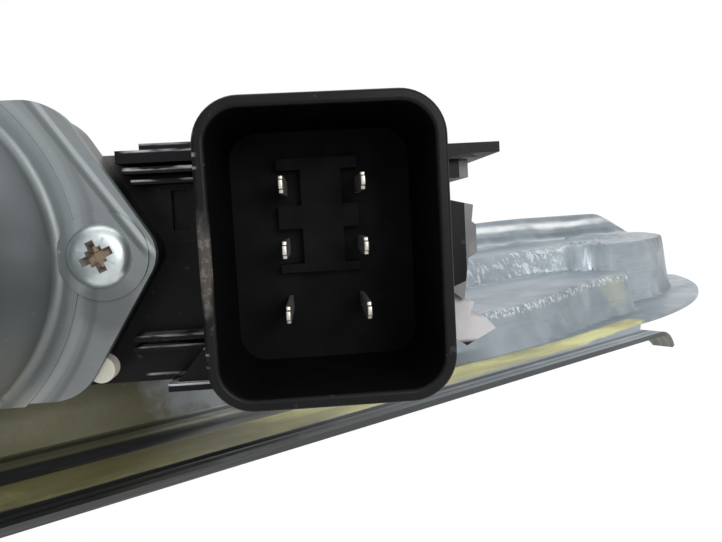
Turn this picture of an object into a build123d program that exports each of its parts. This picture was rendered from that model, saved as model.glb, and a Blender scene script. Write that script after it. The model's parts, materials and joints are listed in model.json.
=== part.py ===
"""Single-rail cable window regulator with its gear motor, in millimetres.

X runs along the guide rail towards its lower end, +Z is the plate's normal towards the motor, and the
rail's free lip is on the -Y side. The origin lies half way between the two fixing holes of the rail,
in the plane of the two fixing pads."""

import math
import os

from build123d import *

# ---------------------------------------------------------------- driving dimensions
# Guide rail
sheet = 1.2  # thickness of the pressed steel
draft = 8  # wall draft of the pressed forms, degrees
press_crown = 3.2  # outer radius along the top edges of the pressed forms
fixing_spacing = 555.0  # distance between the two fixing holes
fixing_hole_r = 4.5  # clearance hole for an M8 bolt
pad_height = 21.5  # the fixing pads stand this far above the running strip
channel_height = 11.0  # the cable channel and the drum plate stand this far above the strip
ridge_height = 32.0  # stiffening ridge along the back edge
rail_front_y = -53.0  # free edge of the running lip
channel_front_y = -28.0
channel_back_y = 12.0
channel_upper_x = -262.0
channel_lower_x = 289.0
rail_upper_x = -304.0
lip_lower_x = 238.0
plateau_front_y = 3.0
plateau_back_y = 49.0
plateau_upper_x = 106.0
plateau_lower_x = 377.0
lobe_upper_x = 262.0  # the fixing end widens from here on
lobe_front_y = -13.0
lobe_arc = (290.0, 94.6)  # centre of the lobe's curved front
slope_run = 12.5  # the plateau's front face leans back this far as it rises
back_flange = 4.0  # rim of flat sheet left round the raised forms

# Placing of the gear motor on the rail
drum_x = 61.6
drum_y = 11.4
motor_yaw = 53.8  # angle between the rail and the armature axis
armature_height = 33.5  # armature axis above the running strip

# Worm gear
gear_module = 0.7
wheel_teeth = 73
worm_pitch_r = 4.5
worm_outer_r = 5.2
worm_root_r = 3.65
worm_turns = 12
tooth_width = 0.95  # tooth thickness of the wheel on the pitch circle
thread_width = 0.55  # thread thickness of the worm on its pitch cylinder
wheel_face = 9.0
wheel_depth = 48.0  # wheel axis behind the motor flange
axle_r = 3.0
running_fit = 0.05  # radial clearance of running bores

# Cable and pulleys
cable_r = 0.9
cable_height = 5.0  # cable plane above the running strip
drum_r = 19.0  # from the drum axis to the middle of the cable
drum_rim_r = 21.5
drum_width = 8.6
pulley_r = 12.0  # from the pulley axis to the middle of the cable
pulley_rim_r = 13.4
pulley_width = 5.6
pulley_bore_r = 4.0
upper_pulley_x = -245.0
lower_pulley_x = 185.0
pulley_y = -8.0
cable_gap = 0.3  # free space between the cable and what moves past it

# Carrier
carrier_length = 60.0
travel = 365.0
glass_gap = 6.2
bumper_length = 8.0
bumper_stem_r = 2.0
slide_gap = 0.3  # free space between the carrier and the rail

# Motor
can_r = 22.3
can_half_height = 16.6  # to the flats of the double-D section
can_wall = 1.3
can_length = 58.0
flange_thickness = 1.4
ear_x = 28.0  # flange screws from the armature axis
ear_y = -0.4
shaft_r = 3.5
lamination_r = 14.8
magnet_inner_r = 15.5
gasket_thickness = 0.6

# Gear housing, connector module and connector
housing_wall = 2.4
screw_circle_r = 33.5  # gear housing screws round the drum axis
screw_angles = (30, 130, 200)
bay_top = 12.4  # top of the electronics bay above the armature axis
bay_bottom = -18.0
bay_split_x = 29.0  # where the connector module joins the gear housing
bay_front = -8.0
bay_back = -46.0
connector_x = 54.6  # middle of the connector from the armature axis
connector_y = -1.0
connector_width = 27.7
connector_tall = 34.5
connector_corner_r = 5.2
connector_wall = 1.4
connector_rim = 11.2  # rim of the connector ahead of the motor flange
socket_floor = -11.5
blade_pitch_x = 10.0
blade_pitch_y = 8.0
blade_thickness = 0.6
blade_width = 2.2
blade_tip = 2.2

# ---------------------------------------------------------------- planes and derived sizes
strip_z = -pad_height  # upper face of the running strip
channel_top_z = strip_z + channel_height
plate_under_z = channel_top_z - sheet
cable_z = strip_z + cable_height
axis_z = strip_z + armature_height
wheel_pitch_r = gear_module * wheel_teeth / 2
centre_distance = wheel_pitch_r + worm_pitch_r
away = (math.cos(math.radians(motor_yaw)), math.sin(math.radians(motor_yaw)))
aside = (away[1], -away[0])
motor_x = drum_x + centre_distance * aside[0] - wheel_depth * away[0]
motor_y = drum_y + centre_distance * aside[1] - wheel_depth * away[1]
carrier_x = upper_pulley_x + pulley_rim_r + 1.9 + carrier_length / 2 - 10.0
fixing_x = fixing_spacing / 2
screw_spots = [
    (
        drum_x + screw_circle_r * math.cos(math.radians(angle)),
        drum_y + screw_circle_r * math.sin(math.radians(angle)),
    )
    for angle in screw_angles
]
half_carrier = carrier_length / 2
rope_y = pulley_y - pulley_r  # line of the cable that pulls the carrier
upper_bumper_x = carrier_x - half_carrier - slide_gap - bumper_length / 2
lower_bumper_x = carrier_x + half_carrier + travel + slide_gap + bumper_length / 2
bumper_span_y = (rope_y - 22, rope_y - 10)
bumper_y = sum(bumper_span_y) / 2

# Seen from the can's closed end: x to the connector's side, y up, z towards the can's closed end.
motor_face = Plane(
    origin=(motor_x, motor_y, axis_z), x_dir=(*aside, 0), z_dir=(-away[0], -away[1], 0)
)


def depth(distance):
    """The plane across the armature axis, this far from the motor flange towards the can's end."""
    return motor_face.offset(distance)


def level(height):
    """The horizontal plane round the drum axis, this far above the armature axis."""
    return Plane(origin=(drum_x, drum_y, axis_z + height), x_dir=(*aside, 0))


def write(node, piece):
    piece.label = node
    export_step(piece, f"parts/{node}.step")


os.makedirs("parts", exist_ok=True)


# ---------------------------------------------------------------- guide rail
def raised(outline, height, skin, crown=press_crown, slope_foot=None):
    """One form that the press raises above the strip, with every face taken in by the skin."""
    with BuildPart() as form:
        extrude(outline, amount=height, taper=draft)
        if slope_foot is not None:
            lean = math.atan2(height, slope_run)
            foot = slope_foot + skin * math.tan(lean / 2)
            with BuildSketch(Plane.YZ):
                with BuildLine():
                    Polyline(
                        (foot, strip_z - skin),
                        (foot + height / math.tan(lean), strip_z - skin + height),
                        (foot, strip_z + 2 * height),
                        (foot - height, strip_z + 2 * height),
                        (foot - height, strip_z - skin),
                        close=True,
                    )
                make_face()
            extrude(amount=2 * plateau_lower_x, mode=Mode.SUBTRACT)
        fillet(form.edges().group_by(Axis.Z)[-1], radius=crown - skin)
        if skin:
            extrude(form.faces().sort_by(Axis.Z)[0], amount=skin)
    return form.part


def box_outline(skin, x_min, x_max, y_min, y_max, corner):
    """A rounded rectangle at the foot of a raised form."""
    with BuildSketch(Plane.XY.offset(strip_z - skin)) as outline:
        with Locations(((x_min + x_max) / 2, (y_min + y_max) / 2)):
            RectangleRounded(x_max - x_min - 2 * skin, y_max - y_min - 2 * skin, corner - skin)
    return outline.sketch


def lobe_outline(skin):
    """The fixing end: a broad corner, a long curved front and a short end."""
    arc_x, arc_y = lobe_arc
    arc_r = arc_y - lobe_front_y - skin
    left, end, back = lobe_upper_x + skin, plateau_lower_x - skin, plateau_back_y - skin
    middle = (arc_x + end) / 2
    start, half_way, finish = [
        (x, arc_y - math.sqrt(arc_r**2 - (x - arc_x) ** 2)) for x in (arc_x, middle, end)
    ]
    with BuildSketch(Plane.XY.offset(strip_z - skin)) as outline:
        with BuildLine():
            Polyline(finish, (end, back), (left, back), (left, start[1]), start)
            ThreePointArc(start, half_way, finish)
        make_face()
        for corner, radius in (((left, start[1]), 22), ((end, back), 12), (finish, 12)):
            fillet(outline.vertices().sort_by_distance(corner)[0], radius=radius - skin)
    return outline.sketch


def pressed_forms(skin):
    pad_half_x, pad_half_y = 20.0, 20.0
    channel = box_outline(
        skin, channel_upper_x, channel_lower_x, channel_front_y, channel_back_y, 12
    )
    drum_plate = box_outline(skin, drum_x - 44, drum_x + 46, channel_front_y, plateau_back_y + 3, 16)
    plateau = box_outline(
        skin, plateau_upper_x, plateau_lower_x, plateau_front_y - 6, plateau_back_y, 12
    )
    ridge = box_outline(
        skin, plateau_upper_x + 4, plateau_lower_x - 20, plateau_back_y - 16, plateau_back_y, 7.8
    )
    upper_pad = box_outline(
        skin, -fixing_x - pad_half_x, -fixing_x + pad_half_x, -pad_half_y, pad_half_y, 14
    )
    return [
        raised(channel, channel_height, skin),
        raised(drum_plate, channel_height, skin),
        raised(plateau, pad_height, skin, slope_foot=plateau_front_y),
        raised(lobe_outline(skin), pad_height, skin),
        raised(ridge, ridge_height, skin, 2.6),
        raised(upper_pad, pad_height, skin),
    ]


raised_forms = pressed_forms(0)
hollow_forms = pressed_forms(sheet)
strip_back_y = channel_back_y + back_flange
with BuildPart() as guide_rail:
    with BuildSketch(Plane.XY.offset(strip_z - sheet)):
        with BuildLine():
            lip_end = (lip_lower_x, rail_front_y)
            notch = (lip_lower_x + 12, lobe_front_y - 25)
            toe = (lip_lower_x + 39, lobe_front_y - 24)
            outer_end = (plateau_lower_x + 8, 18)
            Polyline(
                (rail_upper_x, 26),
                (rail_upper_x, rail_front_y + 26),
                (rail_upper_x + 26, rail_front_y),
                lip_end,
                (lip_lower_x, rail_front_y + 8),
                notch,
                toe,
            )
            ThreePointArc(toe, (plateau_lower_x - 50, -20), outer_end)
            Polyline(
                outer_end,
                (plateau_lower_x + 8, plateau_back_y - 8),
                (plateau_lower_x - 4, plateau_back_y + back_flange),
                (drum_x + 60, plateau_back_y + back_flange),
                (drum_x + 46, plateau_back_y + 3 + back_flange),
                (drum_x - 40, plateau_back_y + 3 + back_flange),
                (drum_x - 60, strip_back_y),
                (-fixing_x + 34, strip_back_y),
                (-fixing_x + 22, 26),
                (rail_upper_x, 26),
            )
        make_face()
    extrude(amount=sheet)
    add(raised_forms)
    add(hollow_forms, mode=Mode.SUBTRACT)
    # The lip ends in a tab that is bent down, as a lead-in for the carrier.
    with BuildSketch(Plane.XZ.offset(-rail_front_y)):
        with BuildLine():
            bend_centre = (lip_lower_x, strip_z - 9)
            outer = CenterArc(bend_centre, 9, 25, 65)
            inner = CenterArc(bend_centre, 9 - sheet, 25, 65)
            Line(outer @ 0, inner @ 0)
            Line(outer @ 1, inner @ 1)
        make_face()
    extrude(amount=-7.5)
    # Fixing holes, the opening for the motor's neck, screw holes and pulley rivet holes
    with Locations((-fixing_x, 0, 0), (fixing_x, 0, 0)):
        Cylinder(fixing_hole_r, 8 * sheet, mode=Mode.SUBTRACT)
    with BuildSketch(Plane(origin=(drum_x, drum_y, channel_top_z))):
        Circle(10.2)
        for angle in screw_angles:
            with PolarLocations(screw_circle_r, 1, start_angle=angle):
                Circle(3.0)
    extrude(amount=-2 * sheet, mode=Mode.SUBTRACT)
    with BuildSketch(Plane.XY.offset(channel_top_z)):
        with Locations((upper_pulley_x, pulley_y), (lower_pulley_x, pulley_y)):
            Circle(pulley_bore_r + running_fit)
    extrude(amount=-2 * sheet, mode=Mode.SUBTRACT)
    with Locations((upper_bumper_x, bumper_y, strip_z), (lower_bumper_x, bumper_y, strip_z)):
        Cylinder(bumper_stem_r, 4 * sheet, mode=Mode.SUBTRACT)
write("guide_rail", guide_rail.part)


# ---------------------------------------------------------------- shared ways to build a piece
def turned(profile, x, y):
    """A piece turned round the vertical axis through x, y, from its half section of (radius, height)."""
    with BuildPart() as piece:
        with BuildSketch(Plane(origin=(x, y, 0), x_dir=(1, 0, 0), z_dir=(0, -1, 0))):
            with BuildLine():
                Polyline(*profile, close=True)
            make_face()
        revolve(axis=Axis((x, y, 0), (0, 0, 1)))
    return piece.part


def spun(profile):
    """A piece turned round the armature axis, from its half section of (radius, depth)."""
    with BuildPart() as piece:
        with BuildSketch(Plane(origin=motor_face.origin, x_dir=(*aside, 0), z_dir=(0, 0, -1))):
            with BuildLine():
                Polyline(*profile, close=True)
            make_face()
        revolve(axis=Axis(motor_face.origin, motor_face.z_dir))
    return piece.part


def block(x_span, y_span, z_span, mode=Mode.ADD):
    """A rectangular block in the motor's frame, joined to the part being built."""
    spans = (x_span, y_span, z_span)
    middle = [sum(span) / 2 for span in spans]
    sides = [abs(span[1] - span[0]) for span in spans]
    with Locations(motor_face.location * Location(middle)):
        Box(*sides, mode=mode)


# ---------------------------------------------------------------- pulleys and their rivets
washer_z = plate_under_z - 1.6
pulley_top_z = cable_z + pulley_width / 2
pulley_low_z = cable_z - pulley_width / 2


def pulley(x):
    floor_r = pulley_r - cable_r - cable_gap
    floor, mouth = cable_r + cable_gap, cable_r + cable_gap + 0.5
    profile = (
        (pulley_bore_r + running_fit, pulley_low_z),
        (pulley_rim_r - 0.4, pulley_low_z),
        (pulley_rim_r, pulley_low_z + 0.4),
        (pulley_rim_r, cable_z - mouth),
        (floor_r, cable_z - floor),
        (floor_r, cable_z + floor),
        (pulley_rim_r, cable_z + mouth),
        (pulley_rim_r, pulley_top_z - 0.4),
        (pulley_rim_r - 0.4, pulley_top_z),
        (pulley_bore_r + running_fit, pulley_top_z),
    )
    return turned(profile, x, pulley_y)


def pulley_rivet(x):
    head_r, foot_r, shank_r = 6.5, 6.0, pulley_bore_r
    foot_z = pulley_low_z - 0.3
    profile = (
        (0, channel_top_z + 1.9),
        (3.6, channel_top_z + 1.6),
        (head_r - 0.5, channel_top_z + 0.7),
        (head_r, channel_top_z),
        (shank_r, channel_top_z),
        (shank_r, plate_under_z),
        (shank_r + 2, plate_under_z),
        (shank_r + 2, pulley_top_z + 0.3),
        (shank_r, pulley_top_z + 0.3),
        (shank_r, foot_z),
        (foot_r, foot_z),
        (foot_r, foot_z - 1.2),
        (0, foot_z - 1.2),
    )
    return turned(profile, x, pulley_y)


write("upper_pulley", pulley(upper_pulley_x))
write("lower_pulley", pulley(lower_pulley_x))
write("pulley_rivets", Compound([pulley_rivet(upper_pulley_x), pulley_rivet(lower_pulley_x)]))

# ---------------------------------------------------------------- cable drum
drum_top_z = cable_z + drum_width / 2
drum_low_z = cable_z - drum_width / 2
spline_r = 6.0
spline_teeth = 10
wrap_pitch = 2.2
wrap_count = 3


def spline_section(z, extra):
    """The toothed outline that the output hub and the drum share, let out by the extra."""
    with BuildSketch(Plane(origin=(drum_x, drum_y, z))) as outline:
        Circle(spline_r + extra)
        with PolarLocations(spline_r + 0.3, spline_teeth):
            Rectangle(1.8 + 2 * extra, 1.9 + 2 * extra)
    return outline.sketch


drum_core_r = drum_r - cable_r - 0.02
drum_body = turned(
    (
        (4, drum_low_z),
        (drum_rim_r - 0.5, drum_low_z),
        (drum_rim_r, drum_low_z + 0.3),
        (drum_rim_r, drum_low_z + 0.9),
        (drum_core_r, drum_low_z + 1.1),
        (drum_core_r, drum_top_z - 1.1),
        (drum_rim_r, drum_top_z - 0.9),
        (drum_rim_r, drum_top_z - 0.3),
        (drum_rim_r - 0.5, drum_top_z),
        (4, drum_top_z),
    ),
    drum_x,
    drum_y,
)
drum_bore = extrude(spline_section(drum_low_z, 0.08), drum_width)
with BuildPart() as cable_drum:
    add(drum_body)
    add(drum_bore, mode=Mode.SUBTRACT)
    # Pockets between six ribs, open downwards
    with BuildSketch(Plane(origin=(drum_x, drum_y, drum_low_z))):
        Circle(drum_core_r - 1.8)
        Circle(spline_r + 3.0, mode=Mode.SUBTRACT)
        with PolarLocations(12.5, 6):
            Rectangle(11, 1.6, mode=Mode.SUBTRACT)
    extrude(amount=drum_width - 1.8, mode=Mode.SUBTRACT)
write("cable_drum", cable_drum.part)

with BuildPart() as drum_wraps:
    wrap_heights = [(turn - (wrap_count - 1) / 2) * wrap_pitch for turn in range(wrap_count)]
    with Locations(*[(drum_x, drum_y, cable_z + height) for height in wrap_heights]):
        Torus(drum_r, cable_r)
write("drum_wraps", drum_wraps.part)

# ---------------------------------------------------------------- drum housing under the plate
housing_floor_z = drum_low_z - 0.9
floor_thickness = 1.8
housing_inner_r = drum_rim_r + 0.6
housing_outer_r = housing_inner_r + 2.0
ear_thickness = 2.4
with BuildPart() as drum_housing:
    with BuildSketch(Plane(origin=(drum_x, drum_y, housing_floor_z - floor_thickness))):
        Circle(housing_outer_r)
        Circle(7.5, mode=Mode.SUBTRACT)
    extrude(amount=floor_thickness)
    with BuildSketch(Plane(origin=(drum_x, drum_y, housing_floor_z))):
        Circle(housing_outer_r)
        Circle(housing_inner_r, mode=Mode.SUBTRACT)
    extrude(amount=plate_under_z - housing_floor_z)
    with BuildSketch(Plane(origin=(drum_x, drum_y, plate_under_z - ear_thickness))):
        for angle in screw_angles:
            with PolarLocations(screw_circle_r, 1, start_angle=angle):
                Circle(6.0)
            with PolarLocations((screw_circle_r + drum_r) / 2, 1, start_angle=angle):
                Rectangle(screw_circle_r - drum_r, 12)
        Circle(housing_inner_r, mode=Mode.SUBTRACT)
        for angle in screw_angles:
            with PolarLocations(screw_circle_r, 1, start_angle=angle):
                Circle(2.6, mode=Mode.SUBTRACT)
    extrude(amount=ear_thickness)
    # Windows through which the two cables leave
    with Locations((drum_x - 15, drum_y - 19.5, cable_z), (drum_x + 15, drum_y - 19.5, cable_z)):
        Box(14, 8, 4.4, mode=Mode.SUBTRACT)
    # Stiffening ribs below the floor, level with the rim of the central hole
    with BuildSketch(Plane(origin=(drum_x, drum_y, housing_floor_z - floor_thickness - 0.8))):
        with PolarLocations(14.5, 6, start_angle=30):
            Rectangle(13, 1.4)
    extrude(amount=0.8)
write("drum_housing", drum_housing.part)

# ---------------------------------------------------------------- cables
def tangent_angle(x):
    """The slope of a cable that leaves the drum's lip side and reaches a pulley's far side."""
    run_x, run_y = drum_x - x, drum_y - pulley_y
    reach = math.asin((drum_r + pulley_r) / math.hypot(run_x, run_y))
    bearing = math.atan2(run_y, abs(run_x))
    return bearing - reach if x < drum_x else reach - bearing


def cable(x):
    slope = tangent_angle(x)
    side = -1 if x < drum_x else 1
    normal = (-math.sin(slope), math.cos(slope))
    clear = math.sqrt((drum_r + 2 * cable_r + cable_gap) ** 2 - drum_r**2)
    start = (
        drum_x - drum_r * normal[0] + side * clear * math.cos(slope),
        drum_y - drum_r * normal[1] + side * clear * math.sin(slope),
    )
    lift = 90 + math.degrees(slope)
    with BuildPart() as piece:
        with BuildLine(Plane.XY.offset(cable_z)) as route:
            bend = CenterArc((x, pulley_y), pulley_r, lift, -side * (180 + side * (lift - 90)))
            Line(start, bend @ 0)
            Line(bend @ 1, (carrier_x, pulley_y - pulley_r))
        path = route.wires()[0]
        with BuildSketch(Plane(origin=path @ 0, z_dir=path % 0)):
            Circle(cable_r)
        sweep(path=path)
    return piece.part


write("upper_cable", cable(upper_pulley_x))
write("lower_cable", cable(lower_pulley_x))


# ---------------------------------------------------------------- carrier, glass clamp and end bumpers
# The carrier stands at the upper end of its travel, with the window closed.
strip_under_z = strip_z - sheet
body_low_z = strip_under_z - slide_gap - 5.5
jaw_low_z = body_low_z - 3.0
clamp_depth = 3.0
clamp_top_z = jaw_low_z - glass_gap
clamp_span_x = (carrier_x - half_carrier + 2, carrier_x + half_carrier - 4)
clamp_span_y = (rail_front_y + 3, rope_y + 4)
bolt_at = (carrier_x + 8, sum(clamp_span_y) / 2)
bolt_r = 3.0
shoe_front_y = rail_front_y - slide_gap - 2.7
tongue_half = 12.0
nipple_r = 2.6
nipple_half = 3.5
nut_flats = 10.0
nut_height = 4.0


def span_box(x_span, y_span, z_span, mode=Mode.ADD):
    """A rectangular block between limits in the part's own frame."""
    spans = (x_span, y_span, z_span)
    with Locations([tuple(sum(span) / 2 for span in spans)]):
        Box(*[span[1] - span[0] for span in spans], mode=mode)


with BuildPart() as carrier:
    x_span = (carrier_x - half_carrier, carrier_x + half_carrier)
    under_z = strip_under_z - slide_gap
    span_box(x_span, (shoe_front_y, rope_y + 5), (body_low_z, under_z))
    fillet(carrier.edges().filter_by(Axis.Z), radius=4)
    # Shoe round the rail's free lip
    for end in (-1, 1):
        middle = carrier_x + end * (half_carrier - 9)
        shoe_span = (middle - 8, middle + 8)
        span_box(shoe_span, (shoe_front_y, rail_front_y - slide_gap), (under_z - 1, strip_z + 3.2))
        span_box(shoe_span, (shoe_front_y, rail_front_y + 5), (strip_z + slide_gap, strip_z + 3.2))
    # Tongue in the cable channel, with the cable's passage and the nipples' pockets
    tongue_span = (carrier_x - tongue_half, carrier_x + tongue_half)
    span_box(tongue_span, (rope_y - 3.2, rope_y + 4), (under_z - 1, cable_z + 3.0))
    fillet(carrier.edges().filter_by(Axis.X).group_by(Axis.Z)[-1], radius=1.2)
    # Fixed jaw of the glass clamp
    span_box(
        clamp_span_x, clamp_span_y, (jaw_low_z, body_low_z + 1)
    )
    span_box(
        (clamp_span_x[1] - 5, clamp_span_x[1]), clamp_span_y, (clamp_top_z, jaw_low_z + 1)
    )
    with Locations(Location((carrier_x, rope_y, cable_z), (0, 90, 0))):
        Cylinder(cable_r + cable_gap, 2 * tongue_half + 2, mode=Mode.SUBTRACT)
    for end in (-1, 1):
        seat = carrier_x + end * (tongue_half - nipple_half)
        with Locations(Location((seat, rope_y, cable_z), (0, 90, 0))):
            Cylinder(nipple_r + 0.05, 2 * nipple_half + 0.02, mode=Mode.SUBTRACT)
    with Locations((*bolt_at, 0)):
        Cylinder(bolt_r + 0.2, 4 * pad_height, mode=Mode.SUBTRACT)
    # Hexagonal pocket that holds the clamp's nut
    with BuildSketch(Plane(origin=(*bolt_at, under_z))):
        RegularPolygon(nut_flats / 2 + 0.1, 6, major_radius=False)
    extrude(amount=-nut_height - 0.2, mode=Mode.SUBTRACT)
write("carrier", carrier.part)

with BuildPart() as cable_nipples:
    for end in (-1, 1):
        seat = carrier_x + end * (tongue_half - nipple_half)
        with Locations(Location((seat, rope_y, cable_z), (0, 90, 0))):
            Cylinder(nipple_r, 2 * nipple_half)
            Cylinder(cable_r + cable_gap, 2 * nipple_half, mode=Mode.SUBTRACT)
write("cable_nipples", cable_nipples.part)

pad_thickness = 0.8
pad_span_x = (carrier_x - half_carrier + 2, carrier_x + half_carrier - 9.4)
with BuildPart() as glass_pads:
    for low_z in (clamp_top_z, jaw_low_z - pad_thickness):
        span_box(pad_span_x, clamp_span_y, (low_z, low_z + pad_thickness))
    with Locations((*bolt_at, 0)):
        Cylinder(bolt_r + 0.6, 4 * pad_height, mode=Mode.SUBTRACT)
write("glass_pads", glass_pads.part)

with BuildPart() as clamp_plate:
    span_box(clamp_span_x, clamp_span_y, (clamp_top_z - clamp_depth, clamp_top_z))
    fillet(clamp_plate.edges().filter_by(Axis.Z), radius=3)
    chamfer(clamp_plate.faces().sort_by(Axis.Z)[0].edges(), length=0.6)
    with Locations((*bolt_at, 0)):
        Cylinder(bolt_r + 0.2, 4 * pad_height, mode=Mode.SUBTRACT)
write("clamp_plate", clamp_plate.part)

bolt_head_z = clamp_top_z - clamp_depth
with BuildPart() as clamp_bolt:
    with BuildSketch(Plane(origin=(*bolt_at, bolt_head_z))):
        Circle(5.2)
    extrude(amount=-2.4)
    chamfer(clamp_bolt.edges().group_by(Axis.Z)[0], length=0.7)
    with BuildSketch(Plane(origin=(*bolt_at, bolt_head_z - 2.4))):
        RegularPolygon(2.2, 6)
    extrude(amount=1.6, mode=Mode.SUBTRACT)
    with BuildSketch(Plane(origin=(*bolt_at, bolt_head_z))):
        Circle(bolt_r)
    extrude(amount=under_z - 0.5 - bolt_head_z)
write("clamp_bolt", clamp_bolt.part)

with BuildPart() as clamp_nut:
    with BuildSketch(Plane(origin=(*bolt_at, under_z - nut_height - 0.2))):
        RegularPolygon(nut_flats / 2, 6, major_radius=False)
        Circle(bolt_r + 0.02, mode=Mode.SUBTRACT)
    extrude(amount=nut_height)
write("clamp_nut", clamp_nut.part)

with BuildPart() as end_bumpers:
    for x in (upper_bumper_x, lower_bumper_x):
        span_box((x - bumper_length / 2, x + bumper_length / 2), bumper_span_y, (body_low_z, strip_under_z))
    fillet(end_bumpers.edges().filter_by(Axis.Z), radius=2)
    with Locations(*[(x, bumper_y, strip_under_z) for x in (upper_bumper_x, lower_bumper_x)]):
        Cylinder(bumper_stem_r, sheet, align=(Align.CENTER, Align.CENTER, Align.MIN))
write("end_bumpers", end_bumpers.part)


# ---------------------------------------------------------------- motor can and its screws
flange_half = 18.4
step_height = 0.35


def double_d(radius, half_height):
    """A circle cut flat above and below, on the sketch plane in use."""
    Circle(radius)
    Rectangle(2 * radius, 2 * half_height, mode=Mode.INTERSECT)


def flange_outline(inset):
    """The motor flange's outline across the armature axis, taken in by the inset."""
    corners = [(23.4, flange_half), (34.9, ear_y), (24.0, -flange_half + 0.6)]
    mirrored = [(-x, y) for x, y in reversed(corners)]
    with BuildSketch(motor_face) as outline:
        with BuildLine():
            Polyline(*corners, *mirrored, close=True)
        make_face()
        offset(amount=-inset)
        fillet(outline.vertices().group_by(Axis.Y)[-1], radius=7 - inset)
        fillet(outline.vertices().group_by(Axis.Y)[0], radius=6 - inset)
        tips = outline.vertices().filter_by_position(Axis.Y, ear_y - 1, ear_y + 1)
        fillet(tips, radius=4.2 - inset)
    return outline.sketch


along_motor = Axis(motor_face.origin, motor_face.z_dir)
can_corner_r = 4.5
can_root_r = 1.2
ear_boss_r = 5.4
ear_boss_height = 0.6


def ears(distance):
    """The places of the two flange screws, this far from the flange's back face."""
    return [motor_face.location * Location((side * ear_x, ear_y, distance)) for side in (-1, 1)]


with BuildPart() as can_cavity:
    with BuildSketch(depth(-1)):
        double_d(can_r - can_wall, can_half_height - can_wall)
    extrude(amount=can_length - can_wall + 1)
    fillet(can_cavity.faces().sort_by(along_motor)[-1].edges(), radius=can_corner_r - can_wall)

with BuildPart() as motor_can:
    extrude(flange_outline(0), flange_thickness)
    # Round land on the flange, one small step below the can wall's root
    with BuildSketch(depth(0)):
        double_d(can_r + 2.8, flange_half - 0.3)
    extrude(amount=flange_thickness + step_height)
    with BuildSketch(depth(0)):
        double_d(can_r, can_half_height)
    extrude(amount=can_length)
    fillet(motor_can.faces().sort_by(along_motor)[-1].edges(), radius=can_corner_r)
    land = motor_can.faces().filter_by(along_motor).group_by(along_motor)[-2].sort_by(SortBy.AREA)[-1]
    fillet(land.inner_wires()[0].edges(), radius=can_root_r)
    with BuildSketch(depth(can_length - 0.5)):
        Circle(8.6)
    extrude(amount=5)
    fillet(motor_can.faces().sort_by(along_motor)[-1].edges(), radius=1.5)
    with Locations(*ears(flange_thickness)):
        Cylinder(ear_boss_r, ear_boss_height, align=(Align.CENTER, Align.CENTER, Align.MIN))
    # Inside of the can and of its bearing boss, then the screw holes
    add(can_cavity.part, mode=Mode.SUBTRACT)
    with BuildSketch(depth(can_length - 2)):
        Circle(7.0)
    extrude(amount=5.2, mode=Mode.SUBTRACT)
    with Locations(*ears(0)):
        Cylinder(2.2, 8, mode=Mode.SUBTRACT)
write("motor_can", motor_can.part)

with BuildPart() as flange_gasket:
    extrude(flange_outline(0.5), -gasket_thickness)
    with BuildSketch(motor_face):
        Circle(17.4)
        with Locations((-ear_x, ear_y), (ear_x, ear_y)):
            Circle(2.2)
    extrude(amount=-gasket_thickness, mode=Mode.SUBTRACT)
write("flange_gasket", flange_gasket.part)

screw_head_r = 4.1
screw_head_z = flange_thickness + ear_boss_height
with BuildPart() as flange_screws:
    ear_places = ears(screw_head_z)
    with Locations(*ear_places):
        Cylinder(screw_head_r, 1.9, align=(Align.CENTER, Align.CENTER, Align.MIN))
    rims = flange_screws.edges().filter_by(GeomType.CIRCLE)
    fillet(rims.group_by(along_motor)[-1], radius=1.3)
    # Cross recess with four short tick marks between its arms
    with Locations(*[place * Location((0, 0, 1.9), (0, 0, -10)) for place in ear_places]):
        Box(3.5, 1.0, 2.4, mode=Mode.SUBTRACT)
        Box(1.0, 3.5, 2.4, mode=Mode.SUBTRACT)
        Cylinder(0.95, 2.8, mode=Mode.SUBTRACT)
    with Locations(*ear_places):
        Cylinder(1.75, screw_head_z + 7.0, align=(Align.CENTER, Align.CENTER, Align.MAX))
write("flange_screws", flange_screws.part)

# ---------------------------------------------------------------- inside the can
magnet_span = (8.0, 48.0)
can_inner_r = can_r - can_wall
for node, turn in (("left_magnet", 180), ("right_magnet", 0)):
    with BuildPart() as magnet:
        with BuildSketch(depth(magnet_span[0])):
            Circle(can_inner_r)
            Circle(magnet_inner_r, mode=Mode.SUBTRACT)
            with Locations((math.copysign(can_r, math.cos(math.radians(turn))), 0)):
                Rectangle(2 * can_r - 22, 27.4, mode=Mode.INTERSECT)
        extrude(amount=magnet_span[1] - magnet_span[0])
    write(node, magnet.part)

bush_half = 3.0
can_bush_depth = can_length - 0.2
front_bush_depth = -27.0
tail_bush_depth = -70.0
worm_length = worm_turns * gear_module * math.pi
thread_start = -wheel_depth - worm_length / 2
shaft_end = -76.0

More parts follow.
